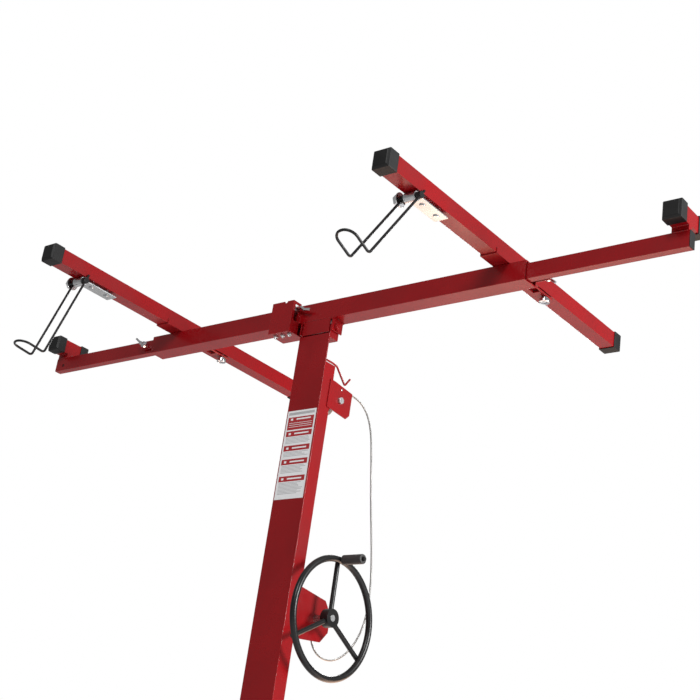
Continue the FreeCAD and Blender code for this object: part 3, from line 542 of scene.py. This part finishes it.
class Palette:
    """Every finish of the lift, each made once."""

    RED = Finish("red_powder_coat", "red_paint", (0.235, 0.0012, 0.0034), (0.195, 0.001, 0.0028),
                 Surface.ORANGE_PEEL, rough=(0.24, 0.36), coat=0.12, shine=0.28, grain_scale=420.0,
                 grain_depth=0.00012, grain_strength=0.16, wear=0.3, dust=0.012,
                 worn=(0.30, 0.20, 0.17))
    CAP = Finish("black_rubber_cap", "black_cap", (0.0035, 0.0035, 0.0038), (0.006, 0.006, 0.0063),
                 Surface.MOULDED, rough=(0.4, 0.55), shine=0.26, grain_scale=1400.0,
                 grain_strength=0.3, dust=0.05)
    WIRE = Finish("black_wire_enamel", "black_wire", (0.004, 0.004, 0.0045), (0.007, 0.007, 0.0075),
                  Surface.ORANGE_PEEL, rough=(0.26, 0.38), shine=0.3, grain_scale=700.0, wear=0.6,
                  worn=(0.18, 0.17, 0.16), dust=0.04)
    ZINC = Finish("zinc_plating", "zinc", (0.58, 0.59, 0.60), (0.47, 0.48, 0.49), Surface.SPANGLE,
                  rough=(0.26, 0.42), metallic=1.0, grain_scale=260.0, grain_strength=0.08, dust=0.06)
    CHROME = Finish("bright_chrome", "chrome", (0.75, 0.75, 0.76), (0.66, 0.66, 0.68),
                    Surface.SCRATCHED, rough=(0.07, 0.2), metallic=1.0, grain_scale=900.0,
                    grain_strength=0.06, dust=0.03)
    DRAWN = Finish("drawn_steel_wire", "steel_cable", (0.42, 0.41, 0.40), (0.3, 0.3, 0.29),
                   Surface.DRAWN, rough=(0.25, 0.42), metallic=1.0, grain_scale=1600.0, dust=0.05)
    NYLON = Finish("white_nylon", "nylon", (0.66, 0.64, 0.58), (0.58, 0.56, 0.5), Surface.MOULDED,
                   rough=(0.36, 0.5), grain_scale=900.0, grain_strength=0.15, dust=0.1)
    GRIP = Finish("grip_moulding", "grip_plastic", (0.018, 0.018, 0.019), (0.028, 0.027, 0.027),
                  Surface.MOULDED, rough=(0.42, 0.6), grain_scale=800.0, grain_strength=0.4, dust=0.1)
    TYRE = Finish("grey_tyre_rubber", "tyre_rubber", (0.05, 0.05, 0.052), (0.08, 0.078, 0.074),
                  Surface.MOULDED, rough=(0.55, 0.75), grain_scale=900.0, grain_strength=0.35, dust=0.4)
    FILM = Finish("label_film", "label_film", (0.74, 0.74, 0.75), (0.68, 0.68, 0.69), Surface.ORANGE_PEEL,
                  rough=(0.28, 0.4), coat=0.3, grain_scale=200.0, grain_strength=0.1, dust=0.08)
    INK_GREY = Finish("label_grey_ink", "label_film", (0.36, 0.36, 0.37), (0.42, 0.42, 0.43),
                      Surface.ORANGE_PEEL, rough=(0.3, 0.42), coat=0.3, grain_scale=200.0, dust=0.08)
    INK_RED = Finish("label_red_ink", "label_film", (0.36, 0.008, 0.012), (0.31, 0.006, 0.01),
                     Surface.ORANGE_PEEL, rough=(0.3, 0.42), coat=0.3, grain_scale=200.0, dust=0.08)

    def __init__(self) -> None:
        """Start with nothing made but the shared effects."""
        self.effects = Effects()
        self.made: dict[str, bpy.types.Material] = {}

    def material(self, finish: Finish) -> bpy.types.Material:
        """Return a finish's material, making it the first time."""
        if finish.name not in self.made:
            self.made[finish.name] = finish.build(self.effects)
        return self.made[finish.name]


# ---------------------------------------------------------------- sub-assemblies
@dataclass
class SubAssembly:
    """A group of pieces that is modelled and dressed together."""

    palette: Palette
    fold: float = 2.2 * MM
    edge: float = 0.6 * MM
    long_edge: float = 90 * MM
    fold_angle: float = 60.0
    fold_steps: int = 4
    flat_angle: float = 0.4
    weld_gap: float = 0.005 * MM

    def dress(self, piece: bpy.types.Object, body: str, finish: Finish, *nodes: str) -> bpy.types.Object:
        """Give a piece its finish and its body.

        Args:
            piece: The finished piece.
            body: The body that it rides on.
            finish: Its finish.
            *nodes: The plain nodes that it stands for.

        Returns:
            The same piece.
        """
        piece.data.materials.clear()
        piece.data.materials.append(self.palette.material(finish))
        if nodes:
            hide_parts(*nodes)
        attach(piece, body)
        LOG.info("%s on %s: %d faces", piece.name, body, len(piece.data.polygons))
        return piece

    def select_folds(self, piece: bpy.types.Object) -> bool:
        """Open a piece in edit mode with its long folds selected.

        Args:
            piece: The piece.

        Returns:
            Whether it has any.
        """
        bpy.ops.object.mode_set(mode="OBJECT")
        normals = {}
        for face in piece.data.polygons:
            for pair in face.edge_keys:
                normals.setdefault(pair, []).append(face.normal.copy())
        limit = math.radians(self.fold_angle)
        folded = {pair for pair, both in normals.items()
                  if len(both) == 2 and both[0].angle(both[1], 0.0) > limit}
        points = piece.data.vertices
        chosen = []
        for line in piece.data.edges:
            first, second = (points[number].co for number in line.vertices)
            chosen.append(line.key in folded and (first - second).length > self.long_edge)
        bpy.ops.object.mode_set(mode="EDIT")
        bpy.ops.mesh.select_mode(type="EDGE")
        bpy.ops.mesh.select_all(action="DESELECT")
        bpy.ops.object.mode_set(mode="OBJECT")
        piece.data.edges.foreach_set("select", chosen)
        bpy.ops.object.mode_set(mode="EDIT")
        return any(chosen)

    def softened(self, node: str, finish: Finish, fold: float | None = None,
                 edge: float | None = None) -> bpy.types.Object:
        """Copy a node's mesh, round its long folds and its small edges, and dress the copy.

        Args:
            node: The node to stand for.
            finish: Its finish.
            fold: Bevel on the long straight edges, or None for the usual one.
            edge: Bevel on the other edges, or None for the usual one.

        Returns:
            The dressed copy.
        """
        source = frame["nodes"][node]
        piece = bpy.data.objects.new(node + "_skin", source.data.copy())
        bpy.context.scene.collection.objects.link(piece)
        hold(piece)
        bpy.ops.object.mode_set(mode="EDIT")
        bpy.ops.mesh.select_all(action="SELECT")
        bpy.ops.mesh.remove_doubles(threshold=self.weld_gap)
        bpy.ops.mesh.customdata_custom_splitnormals_clear()
        bpy.ops.mesh.dissolve_limited(angle_limit=math.radians(self.flat_angle))
        width = self.fold if fold is None else fold
        if width:
            sharp = self.select_folds(piece)
            if sharp:
                bpy.ops.mesh.bevel(offset=width, segments=self.fold_steps, profile=0.5,
                                   clamp_overlap=True)
        bpy.ops.object.mode_set(mode="OBJECT")
        round_off(piece, self.edge if edge is None else edge)
        return self.dress(piece, source["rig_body"], finish, node)


@dataclass
class Studio:
    """Camera, soft lights, pale floor and plain surroundings."""

    place: Point = (2.1589, -2.3301, 0.1768)
    right: Point = (0.78147, 0.60887, 0.13630)
    up: Point = (0.13755, -0.38119, 0.91421)
    back: Point = (0.60859, -0.69568, -0.38163)
    lens: float = 69.81
    shift: tuple[float, float] = (-0.0057, 0.0009)
    floor_side: float = 40.0
    air_glow: float = 0.3

    def camera(self) -> None:
        """Place the camera."""
        data = bpy.data.cameras.new("camera")
        data.lens = self.lens
        data.sensor_width = 36.0
        data.shift_x, data.shift_y = self.shift
        camera = bpy.data.objects.new("camera", data)
        bpy.context.scene.collection.objects.link(camera)
        rows = [[self.right[i], self.up[i], self.back[i], self.place[i]] for i in range(3)]
        camera.matrix_world = Matrix([*rows, [0, 0, 0, 1]])
        bpy.context.scene.camera = camera

    def lamp(self, name: str, place: Point, target: Point, size: float, watts: float,
             colour: Colour = (1.0, 1.0, 1.0)) -> None:
        """Add one square soft light.

        Args:
            name: The light's name.
            place: Where it stands.
            target: What it points at.
            size: Side of its square.
            watts: Its power.
            colour: Its colour.
        """
        data = bpy.data.lights.new(name, "AREA")
        data.color = colour
        data.shape = "SQUARE"
        data.size = size
        data.energy = watts
        lamp = bpy.data.objects.new(name, data)
        bpy.context.scene.collection.objects.link(lamp)
        way = (Vector(target) - Vector(place)).to_track_quat("-Z", "Y")
        lamp.matrix_world = Matrix.LocRotScale(Vector(place), way, None)

    def surroundings(self) -> None:
        """Add the floor, the lights and the pale air round them."""
        floor = block("studio_floor", (-self.floor_side / 2, -self.floor_side / 2, -0.02),
                      (self.floor_side / 2, self.floor_side / 2, -0.0005))
        round_off(floor, 2 * MM)
        material = bpy.data.materials.new("pale_floor")
        material.use_nodes = True
        wiring = Wiring(material.node_tree)
        coords = wiring.put("TexCoord").outputs["Object"]
        tone = wiring.blend(wiring.noise(coords, 2.5, 5.0), (0.84, 0.84, 0.84, 1), (0.9, 0.9, 0.89, 1))
        shader = material.node_tree.nodes["Principled BSDF"]
        shader.inputs["Roughness"].default_value = 0.75
        shader.inputs["Emission Color"].default_value = (0.42, 0.42, 0.42, 1)
        seen = wiring.put("LightPath").outputs["Is Camera Ray"]
        material.node_tree.links.new(seen, shader.inputs["Emission Strength"])
        material.node_tree.links.new(tone, shader.inputs["Base Color"])
        floor.data.materials.append(material)
        world = bpy.data.worlds.new("studio_air")
        bpy.context.scene.world = world
        world.use_nodes = True
        air = world.node_tree.nodes["Background"]
        air.inputs["Color"].default_value = (1, 1, 1, 1)
        sight = Wiring(world.node_tree).put("LightPath").outputs["Is Camera Ray"]
        glow = Wiring(world.node_tree).span(sight, 0.0, 1.0, self.air_glow, 1.0)
        world.node_tree.links.new(glow, air.inputs["Strength"])
        bpy.context.scene.view_settings.view_transform = "Standard"
        head = (0, 0, 1.5)
        self.lamp("key_light", (4.2, 1.0, 2.0), head, 1.2, 230)
        self.lamp("front_light", (1.6, -3.4, 3.4), head, 1.4, 95)
        self.lamp("rear_light", (-2.0, 3.5, 3.0), head, 1.6, 80)
        self.lamp("low_light", (0.0, 0.9, 0.05), (0, 0.1, 1.6), 1.6, 34, (1.0, 0.6, 0.4))


@dataclass
class LiftCable(SubAssembly):
    """The wire rope that leaves the top pulley, hangs in a bow and winds onto the drum."""

    route: Sequence[Point] = (
        (0, 0.0460, 1.3826), (0, 0.0800, 1.3940), (0, 0.1190, 1.4055), (0, 0.1600, 1.4110),
        (0, 0.2010, 1.4040), (0, 0.2330, 1.3800), (0, 0.2540, 1.3400), (0, 0.2670, 1.2850),
        (0, 0.2790, 1.2220), (0, 0.2930, 1.1570), (0, 0.3090, 1.0920), (0, 0.3240, 1.0280),
        (0, 0.3350, 0.9650), (0, 0.3380, 0.9050), (0, 0.3280, 0.8480), (0, 0.3030, 0.7980),
        (0, 0.2660, 0.7600), (0, 0.2250, 0.7390), (0, 0.1850, 0.7360), (0, 0.1530, 0.7490),
        (0, 0.1340, 0.7760), (0, 0.1340, 0.8060))
    diameter: float = 4.8 * MM
    strands: int = 6
    lay: float = 26 * MM
    steps: int = 14
    sides: int = 7
    overlap: float = 1.02
    length: float = 1.033

    def line(self) -> list[Vector]:
        """Read the rope's smooth middle line from its spline.

        Returns:
            Points along it, close together.
        """
        curve = bpy.data.curves.new("lift_cable_line", "CURVE")
        curve.dimensions = "3D"
        curve.resolution_u = 10
        spline = curve.splines.new("NURBS")
        spline.points.add(len(self.route) - 1)
        for point, spot in zip(spline.points, self.route):
            point.co = (*spot, 1.0)
        spline.order_u = 3
        spline.use_endpoint_u = True
        holder = bpy.data.objects.new("lift_cable_line", curve)
        mesh = bpy.data.meshes.new_from_object(holder)
        points = [vertex.co.copy() for vertex in mesh.vertices]
        bpy.data.objects.remove(holder)
        bpy.data.curves.remove(curve)
        bpy.data.meshes.remove(mesh)
        return points

    def even(self, points: list[Vector], step: float) -> list[Vector]:
        """Space the points of a line evenly.

        Args:
            points: The line.
            step: Distance wanted between points.

        Returns:
            Points of the same line, that far apart.
        """
        spaced, spare = [points[0]], step
        for here, there in zip(points, points[1:]):
            run = (there - here).length
            while spare <= run:
                spaced.append(here.lerp(there, spare / run))
                spare += step
            spare -= run
        return [*spaced, points[-1]]

    def build(self) -> None:
        points = self.line()
        line = self.even(points, self.lay / self.steps)
        side = Vector((1, 0, 0))
        wire = self.diameter / 6 * self.overlap
        offset = self.diameter / 2 - wire
        vertices, faces, sides = [], [], self.sides
        for strand in range(self.strands + 1):
            base = len(vertices)
            for number, spot in enumerate(line):
                ahead = line[min(number + 1, len(line) - 1)] - line[max(number - 1, 0)]
                other = ahead.normalized().cross(side)
                turn = 2 * math.pi * (number / self.steps + strand / self.strands)
                out = side * math.cos(turn) + other * math.sin(turn)
                centre = spot + out * (offset if strand < self.strands else 0.0)
                for corner in range(sides):
                    angle = 2 * math.pi * corner / sides + turn
                    vertices.append(centre + wire * (side * math.cos(angle) + other * math.sin(angle)))
            rings = len(line)
            for ring in range(rings - 1):
                for corner in range(sides):
                    following = (corner + 1) % sides
                    start = base + ring * sides
                    faces.append((start + corner, start + following, start + sides + following,
                                  start + sides + corner))
            faces.append(tuple(base + corner for corner in reversed(range(sides))))
            faces.append(tuple(base + (rings - 1) * sides + corner for corner in range(sides)))
        mesh = bpy.data.meshes.new("lift_cable_strands")
        mesh.from_pydata(vertices, [], faces)
        rope = bpy.data.objects.new("lift_cable_strands", mesh)
        bpy.context.scene.collection.objects.link(rope)
        hold(rope)
        bpy.ops.object.mode_set(mode="EDIT")
        bpy.ops.mesh.select_all(action="SELECT")
        bpy.ops.mesh.normals_make_consistent(inside=False)
        bpy.ops.object.mode_set(mode="OBJECT")
        bpy.ops.object.shade_smooth_by_angle(angle=math.radians(60))
        self.dress(rope, "stand", Palette.DRAWN, "lift_cable")


@dataclass
class Mast(SubAssembly):
    """The telescoping mast, its guide collars and its instruction label."""

    label_low: Point = (-0.046, -0.0205, 1.075)
    label_high: Point = (0.046, -0.020, 1.305)

    def build(self) -> None:
        """Build the tubes, collars and label."""
        self.softened("outer_mast", Palette.RED, fold=3.5 * MM)
        self.softened("middle_mast", Palette.ZINC, fold=2.4 * MM)
        self.softened("inner_mast", Palette.ZINC, fold=2.0 * MM)
        self.softened("outer_guide_collar", Palette.NYLON, edge=1.0 * MM)
        self.softened("middle_guide_collar", Palette.NYLON, edge=1.0 * MM)
        self.label()

    def label(self) -> None:
        """Cut the label's film into rows and print its plain bars."""
        film = block("mast_label_film", self.label_low, self.label_high)
        left, _, low = self.label_low
        right, _, high = self.label_high
        wide, tall = right - left, high - low
        bars = []
        for top, bottom, start, end, ink in self.prints():
            bars.append((left + start * wide, left + end * wide, high - bottom * tall,
                         high - top * tall, ink))
        hold(film)
        bpy.ops.object.mode_set(mode="EDIT")
        cuts_x = sorted({round(value, 6) for bar_item in bars for value in bar_item[:2]})
        cuts_z = sorted({round(value, 6) for bar_item in bars for value in bar_item[2:4]})
        for axis, cuts in (((1, 0, 0), cuts_x), ((0, 0, 1), cuts_z)):
            for value in cuts:
                spot = (value, 0, 0) if axis[0] else (0, 0, value)
                bpy.ops.mesh.select_all(action="SELECT")
                bpy.ops.mesh.bisect(plane_co=spot, plane_no=axis)
        bpy.ops.object.mode_set(mode="OBJECT")
        self.dress(film, "stand", Palette.FILM, "mast_label")
        for ink in (Palette.INK_GREY, Palette.INK_RED):
            film.data.materials.append(self.palette.material(ink))
        for face in film.data.polygons:
            spot = face.center
            if face.normal.y > -0.5:
                continue
            for x_low, x_high, z_low, z_high, ink in bars:
                if x_low < spot.x < x_high and z_low < spot.z < z_high:
                    face.material_index = ink

    def prints(self) -> list[tuple[float, float, float, float, int]]:
        """List the printed bars as shares of the label's height and width.

        Returns:
            Top, bottom, start, end and ink number of each bar.
        """
        dice = random.Random(5)
        film, grey, red = range(3)
        rows = [(0.020, 0.050, 0.05, 0.95, grey), (0.075, 0.220, 0.05, 0.95, red)]
        for heading, lines in ((0.235, 5), (0.400, 4), (0.555, 6), (0.745, 9)):
            rows.append((heading, heading + 0.062, 0.05, 0.95, red))
            for number in range(lines):
                start = heading + 0.072 + 0.015 * number
                rows.append((start, start + 0.007, 0.07, 0.72 + 0.22 * dice.random(), grey))
        for middle in (0.100, 0.266, 0.431, 0.586, 0.776):
            rows.append((middle - 0.012, middle + 0.012, 0.14, 0.22, film))
            rows.append((middle - 0.008, middle + 0.008, 0.34, 0.84, film))
        for number in range(3):
            start = 0.140 + 0.022 * number
            rows.append((start, start + 0.005, 0.10, 0.90, film))
        return rows


@dataclass
class CradleHead(SubAssembly):
    """The mast's forked head, the saddle that tilts on it, its bolt and the latch."""

    spring_foot: Point = (-0.0840, -0.034, 1.588)
    spring_seat: Point = (-0.0675, -0.034, 1.588)

    def build(self) -> None:
        """Build the head, the saddle, the bolt and the latch box."""
        self.softened("mast_head", Palette.RED, fold=0, edge=1.0 * MM)
        self.softened("cradle_saddle", Palette.RED, fold=0, edge=0.9 * MM)
        self.softened("tilt_bolt", Palette.RED, fold=0, edge=0.7 * MM)
        self.softened("latch_box", Palette.RED, fold=0, edge=0.9 * MM)
        self.softened("latch_box_bolts", Palette.ZINC, fold=0, edge=0.5 * MM)
        self.softened("tilt_latch", Palette.CHROME, fold=0, edge=0.8 * MM)
        spring = coiled("latch_spring", self.spring_foot, Vector((1, 0, 0)), 6.4 * MM, 0.9 * MM,
                        3.1 * MM, 5.0)
        self.dress(spring, "cradle", Palette.CHROME)
        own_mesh(spring)


@dataclass
class Beam(SubAssembly):
    """The main beam with its rear lock tabs, ears and weld beads."""

    half: float = 0.613
    ear_depths: Sequence[float] = (-0.0170, 0.0270)
    arm_places: Sequence[float] = (-0.524, 0.545)
    tab_half: float = 20 * MM
    rear: float = 0.030
    tab_bottom: float = 1.595

    def build(self) -> None:
        """Build the beam, its welds and the arms' pivot bolts."""
        self.softened("main_beam", Palette.RED, fold=3.0 * MM)
        self.softened("arm_pivot_bolts", Palette.ZINC, fold=0, edge=0.8 * MM)
        dice = random.Random(21)
        beads = []
        for number, middle in enumerate(self.arm_places):
            start, end = ((middle + way * self.tab_half, self.rear, self.tab_bottom) for way in (-1, 1))
            beads.append(weld_bead(f"tab_weld_{number}", start, end, 2.2 * MM, 3.0 * MM, dice))
        for number, side in enumerate((-1, 1)):
            edge_x = side * self.half
            depth = self.ear_depths[number]
            beads.append(weld_bead(f"ear_weld_{number}", (edge_x, depth, 1.5660),
                                   (edge_x, depth, 1.5860), 1.8 * MM, 2.8 * MM, dice))
        self.dress(join(beads, "beam_welds"), "cradle", Palette.RED)


@dataclass
class Outrigger(SubAssembly):
    """One sliding outrigger with its cross tube, caps and clamp screw."""

    side: str = "left"
    sign: int = -1
    reach: float = 1.036

    def build(self) -> None:
        """Build the outrigger's tubes, welds, caps and screw."""
        name = self.side
        self.softened(f"{name}_outrigger", Palette.RED, fold=2.0 * MM)
        self.softened(f"{name}_outrigger_caps", Palette.CAP, fold=0, edge=1.1 * MM)
        self.softened(f"{name}_lock_screw", Palette.CHROME, fold=0, edge=0.5 * MM)
        dice = random.Random(31 if self.sign < 0 else 32)
        post_middle = self.sign * (self.reach - 0.022)
        beads = []
        for number, (level, depth) in enumerate(((1.5940, -0.0142), (1.6070, -0.0142),
                                                 (1.5940, 0.0008), (1.6070, 0.0008))):
            beads.append(weld_bead(f"{name}_post_weld_{number}", (post_middle - 0.019, depth, level),
                                   (post_middle + 0.019, depth, level), 1.9 * MM, 2.8 * MM, dice))
        self.dress(join(beads, f"{name}_outrigger_welds"), f"{name}_outrigger", Palette.RED)


@dataclass
class CrossArm(SubAssembly):
    """One folding cross arm with its saddle, caps, lock pin and panel hook."""

    side: str = "left"
    pin_radius: float = 5 * MM
    knob_radius: float = 13 * MM

    def build(self) -> None:
        """Build the arm, its fittings and its hook."""
        name = self.side
        self.softened(f"{name}_arm", Palette.RED, fold=2.4 * MM)
        self.softened(f"{name}_arm_saddle", Palette.RED, fold=0, edge=0.9 * MM)
        self.softened(f"{name}_arm_caps", Palette.CAP, fold=0, edge=1.2 * MM)
        self.pin()
        self.softened(f"{name}_hook_leaf", Palette.ZINC, fold=0, edge=0.7 * MM)
        self.softened(f"{name}_hook_barrel", Palette.WIRE, fold=0, edge=0.8 * MM)
        self.softened(f"{name}_hook_nut", Palette.CHROME, fold=0, edge=0.9 * MM)
        self.softened(f"{name}_hook_wire", Palette.WIRE, fold=0, edge=0.5 * MM)

    def pin(self) -> None:
        """Turn the spring pin with its cupped knob, which holds a small screw."""
        node = f"{self.side}_lock_pin"
        low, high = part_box(node)
        middle_x, middle_y, tall = (low[0] + high[0]) / 2, (low[1] + high[1]) / 2, high[2] - low[2]
        rim, stem = self.knob_radius, self.pin_radius
        outline = [(0, 1.6 * MM), (3.0 * MM, 1.6 * MM), (4.2 * MM, 2.6 * MM), (4.2 * MM, 5.2 * MM),
                   (rim - 5.0 * MM, 5.2 * MM), (rim - 3.4 * MM, 4.4 * MM), (rim - 2.8 * MM, 0.8 * MM),
                   (rim - 2.0 * MM, 0), (rim - 1.2 * MM, 0), (rim - 0.3 * MM, 0.5 * MM), (rim, 1.6 * MM),
                   (rim, 7.4 * MM), (rim - 0.6 * MM, 8.6 * MM), (rim - 2.0 * MM, 9.0 * MM),
                   (rim - 4.0 * MM, 9.2 * MM), (rim - 4.0 * MM, 12.0 * MM), (rim - 4.6 * MM, 12.5 * MM),
                   (stem, 12.5 * MM), (stem, tall - 1 * MM), (stem - 1 * MM, tall), (0, tall)]
        profile = [(middle_x + out, middle_y, low[2] + up) for out, up in outline]
        pin = turned(f"{self.side}_spring_pin", profile, (middle_x, middle_y, low[2]), (0, 0, 1))
        self.dress(pin, f"{self.side}_lock_pin", Palette.CHROME, node)


@dataclass
class TopPulley(SubAssembly):
    """The pulley behind the mast's top, with its bracket, bolt, rivets and keeper rod."""

    middle: Point = (0.0, 0.053, 1.350)
    radius: float = 31 * MM
    groove: float = 28.2 * MM
    half: float = 8 * MM
    bore: float = 5.05 * MM

    def build(self) -> None:
        """Build the bracket, its fixings and the pulley."""
        self.softened("pulley_bracket", Palette.RED, fold=0, edge=0.8 * MM)
        self.softened("pulley_bolt", Palette.ZINC, fold=0, edge=0.6 * MM)
        self.softened("bracket_rivets", Palette.ZINC, fold=0, edge=0.8 * MM)
        self.softened("retaining_rod", Palette.RED, fold=0, edge=0.4 * MM)
        x, y, z = self.middle
        half, rim = self.half, self.radius
        steps = [(-half, self.bore), (-half, 12 * MM), (-half + 2 * MM, 13 * MM),
                 (-half + 2 * MM, 22 * MM),
                 (-half, 23.5 * MM), (-half, rim - 1 * MM), (-half + 0.8 * MM, rim),
                 (-half + 2.4 * MM, rim), (-4 * MM, 29 * MM), (-2 * MM, self.groove - 0.9 * MM),
                 (0, self.groove - 1.2 * MM)]
        outline = steps + [(-along, out) for along, out in reversed(steps[:-1])] + [steps[0]]
        wheel = turned("top_pulley_wheel", [(x + along, y, z + out) for along, out in outline],
                       self.middle, (1, 0, 0))
        self.dress(wheel, "pulley", Palette.NYLON, "top_pulley")


@dataclass
class Winch(SubAssembly):
    """The hand winch: frame, wound drum, shaft with ratchet, pawl, hand wheel and grip."""

    middle: Point = (0.0, 0.097, 0.812)
    half: float = 35.7 * MM
    core: float = 26 * MM
    flange: float = 39 * MM
    wire: float = 2.4 * MM
    turns: float = 11.5

    def build(self) -> None:
        """Build the winch's pieces."""
        self.softened("winch_frame", Palette.RED, fold=0, edge=0.8 * MM)
        self.softened("winch_shaft", Palette.ZINC, fold=0, edge=0.6 * MM)
        self.softened("brake_pawl", Palette.ZINC, fold=0, edge=0.6 * MM)
        self.softened("hand_wheel", Palette.WIRE, fold=0, edge=0.8 * MM)
        self.softened("wheel_grip", Palette.GRIP, fold=0, edge=2.2 * MM)
        x, y, z = self.middle
        steps = [(-self.half, 8 * MM), (-self.half, self.flange - 1 * MM),
                 (-self.half + 0.6 * MM, self.flange),
                 (-self.half + 2.4 * MM, self.flange), (-self.half + 3 * MM, self.flange - 1 * MM),
                 (-self.half + 3 * MM, self.core)]
        outline = steps + [(-along, out) for along, out in reversed(steps)] + [steps[0]]
        drum = turned("winch_drum_body", [(x + along, y, z + out) for along, out in outline],
                      self.middle, (1, 0, 0))
        self.dress(drum, "winch_reel", Palette.ZINC, "winch_drum")
        pitch = 2 * self.wire + 0.1 * MM
        start = (x - self.turns * pitch / 2, y, z)
        winding = coiled("winch_windings", start, Vector((1, 0, 0)), self.core + self.wire, self.wire,
                         pitch, self.turns, 40)
        self.dress(winding, "winch_reel", Palette.DRAWN)


@dataclass
class Tripod(SubAssembly):
    """The base: hub with leg sockets, three legs, and a swivelling castor on each."""

    trail: float = 0.550
    wheel_radius: float = 37.5 * MM
    wheel_half: float = 12 * MM
    angles: Sequence[tuple[str, float]] = (("rear", 0.0), ("left", 120.0), ("right", -120.0))

    def build(self) -> None:
        """Build the hub, legs and castors."""
        self.softened("base_hub", Palette.RED, fold=2.0 * MM)
        self.softened("leg_clamp_screws", Palette.ZINC, fold=0, edge=0.6 * MM)
        tyre, hub = self.wheel()
        for name, angle in self.angles:
            self.softened(f"{name}_leg", Palette.RED, fold=2.4 * MM)
            self.softened(f"{name}_castor_fork", Palette.ZINC, fold=0, edge=0.7 * MM)
            turn = Matrix.Rotation(math.radians(angle), 4, "Z")
            self.dress(copy_of(tyre, f"{name}_castor_tyre", turn), f"{name}_wheel", Palette.TYRE,
                       f"{name}_castor_wheel")
            self.dress(copy_of(hub, f"{name}_castor_hub", turn), f"{name}_wheel", Palette.NYLON)
        for pattern in (tyre, hub):
            bpy.data.objects.remove(pattern)

    def wheel(self) -> tuple[bpy.types.Object, bpy.types.Object]:
        """Turn the rear castor's tyre and hub.

        Returns:
            The tyre and the hub, undressed.
        """
        radius, half = self.wheel_radius, self.wheel_half
        tread = [(-half + 1.0 * MM, 26 * MM), (-half + 0.6 * MM, radius - 5 * MM),
                 (-half + 1.6 * MM, radius - 1.9 * MM), (-half + 4.2 * MM, radius - 0.3 * MM),
                 (-1.4 * MM, radius), (-1.0 * MM, radius - 0.9 * MM)]
        outline = tread + [(-along, out) for along, out in reversed(tread)] + [tread[0]]
        centre = (0, self.trail, radius)
        profile = [(along, self.trail, radius + out) for along, out in outline]
        tyre = turned("castor_tyre_pattern", profile, centre, (1, 0, 0))
        web = [(-half, 5.05 * MM), (-half, 10 * MM), (-half + 1 * MM, 11 * MM), (-half + 5 * MM, 12 * MM),
               (-half + 5 * MM, 22 * MM), (-half + 1.4 * MM, 23.4 * MM), (-half + 0.8 * MM, 26.1 * MM)]
        outline = web + [(-along, out) for along, out in reversed(web)] + [web[0]]
        profile = [(along, self.trail, radius + out) for along, out in outline]
        hub = turned("castor_hub_pattern", profile, centre, (1, 0, 0))
        return tyre, hub


def main() -> None:
    """Build the studio and every sub-assembly of the lift, in order."""
    studio = Studio()
    studio.camera()
    palette = Palette()
    LiftCable(palette).build()
    studio.surroundings()
    assemblies = [Mast(palette), CradleHead(palette), Beam(palette),
                  Outrigger(palette, side="left", sign=-1, reach=1.036),
                  Outrigger(palette, side="right", sign=1, reach=1.010),
                  CrossArm(palette, side="left"),
                  CrossArm(palette, side="right"),
                  TopPulley(palette), Winch(palette), Tripod(palette)]
    for assembly in assemblies:
        LOG.info("building %s", type(assembly).__name__)
        assembly.build()
    deselect()


if __name__ == "__main__":
    main()
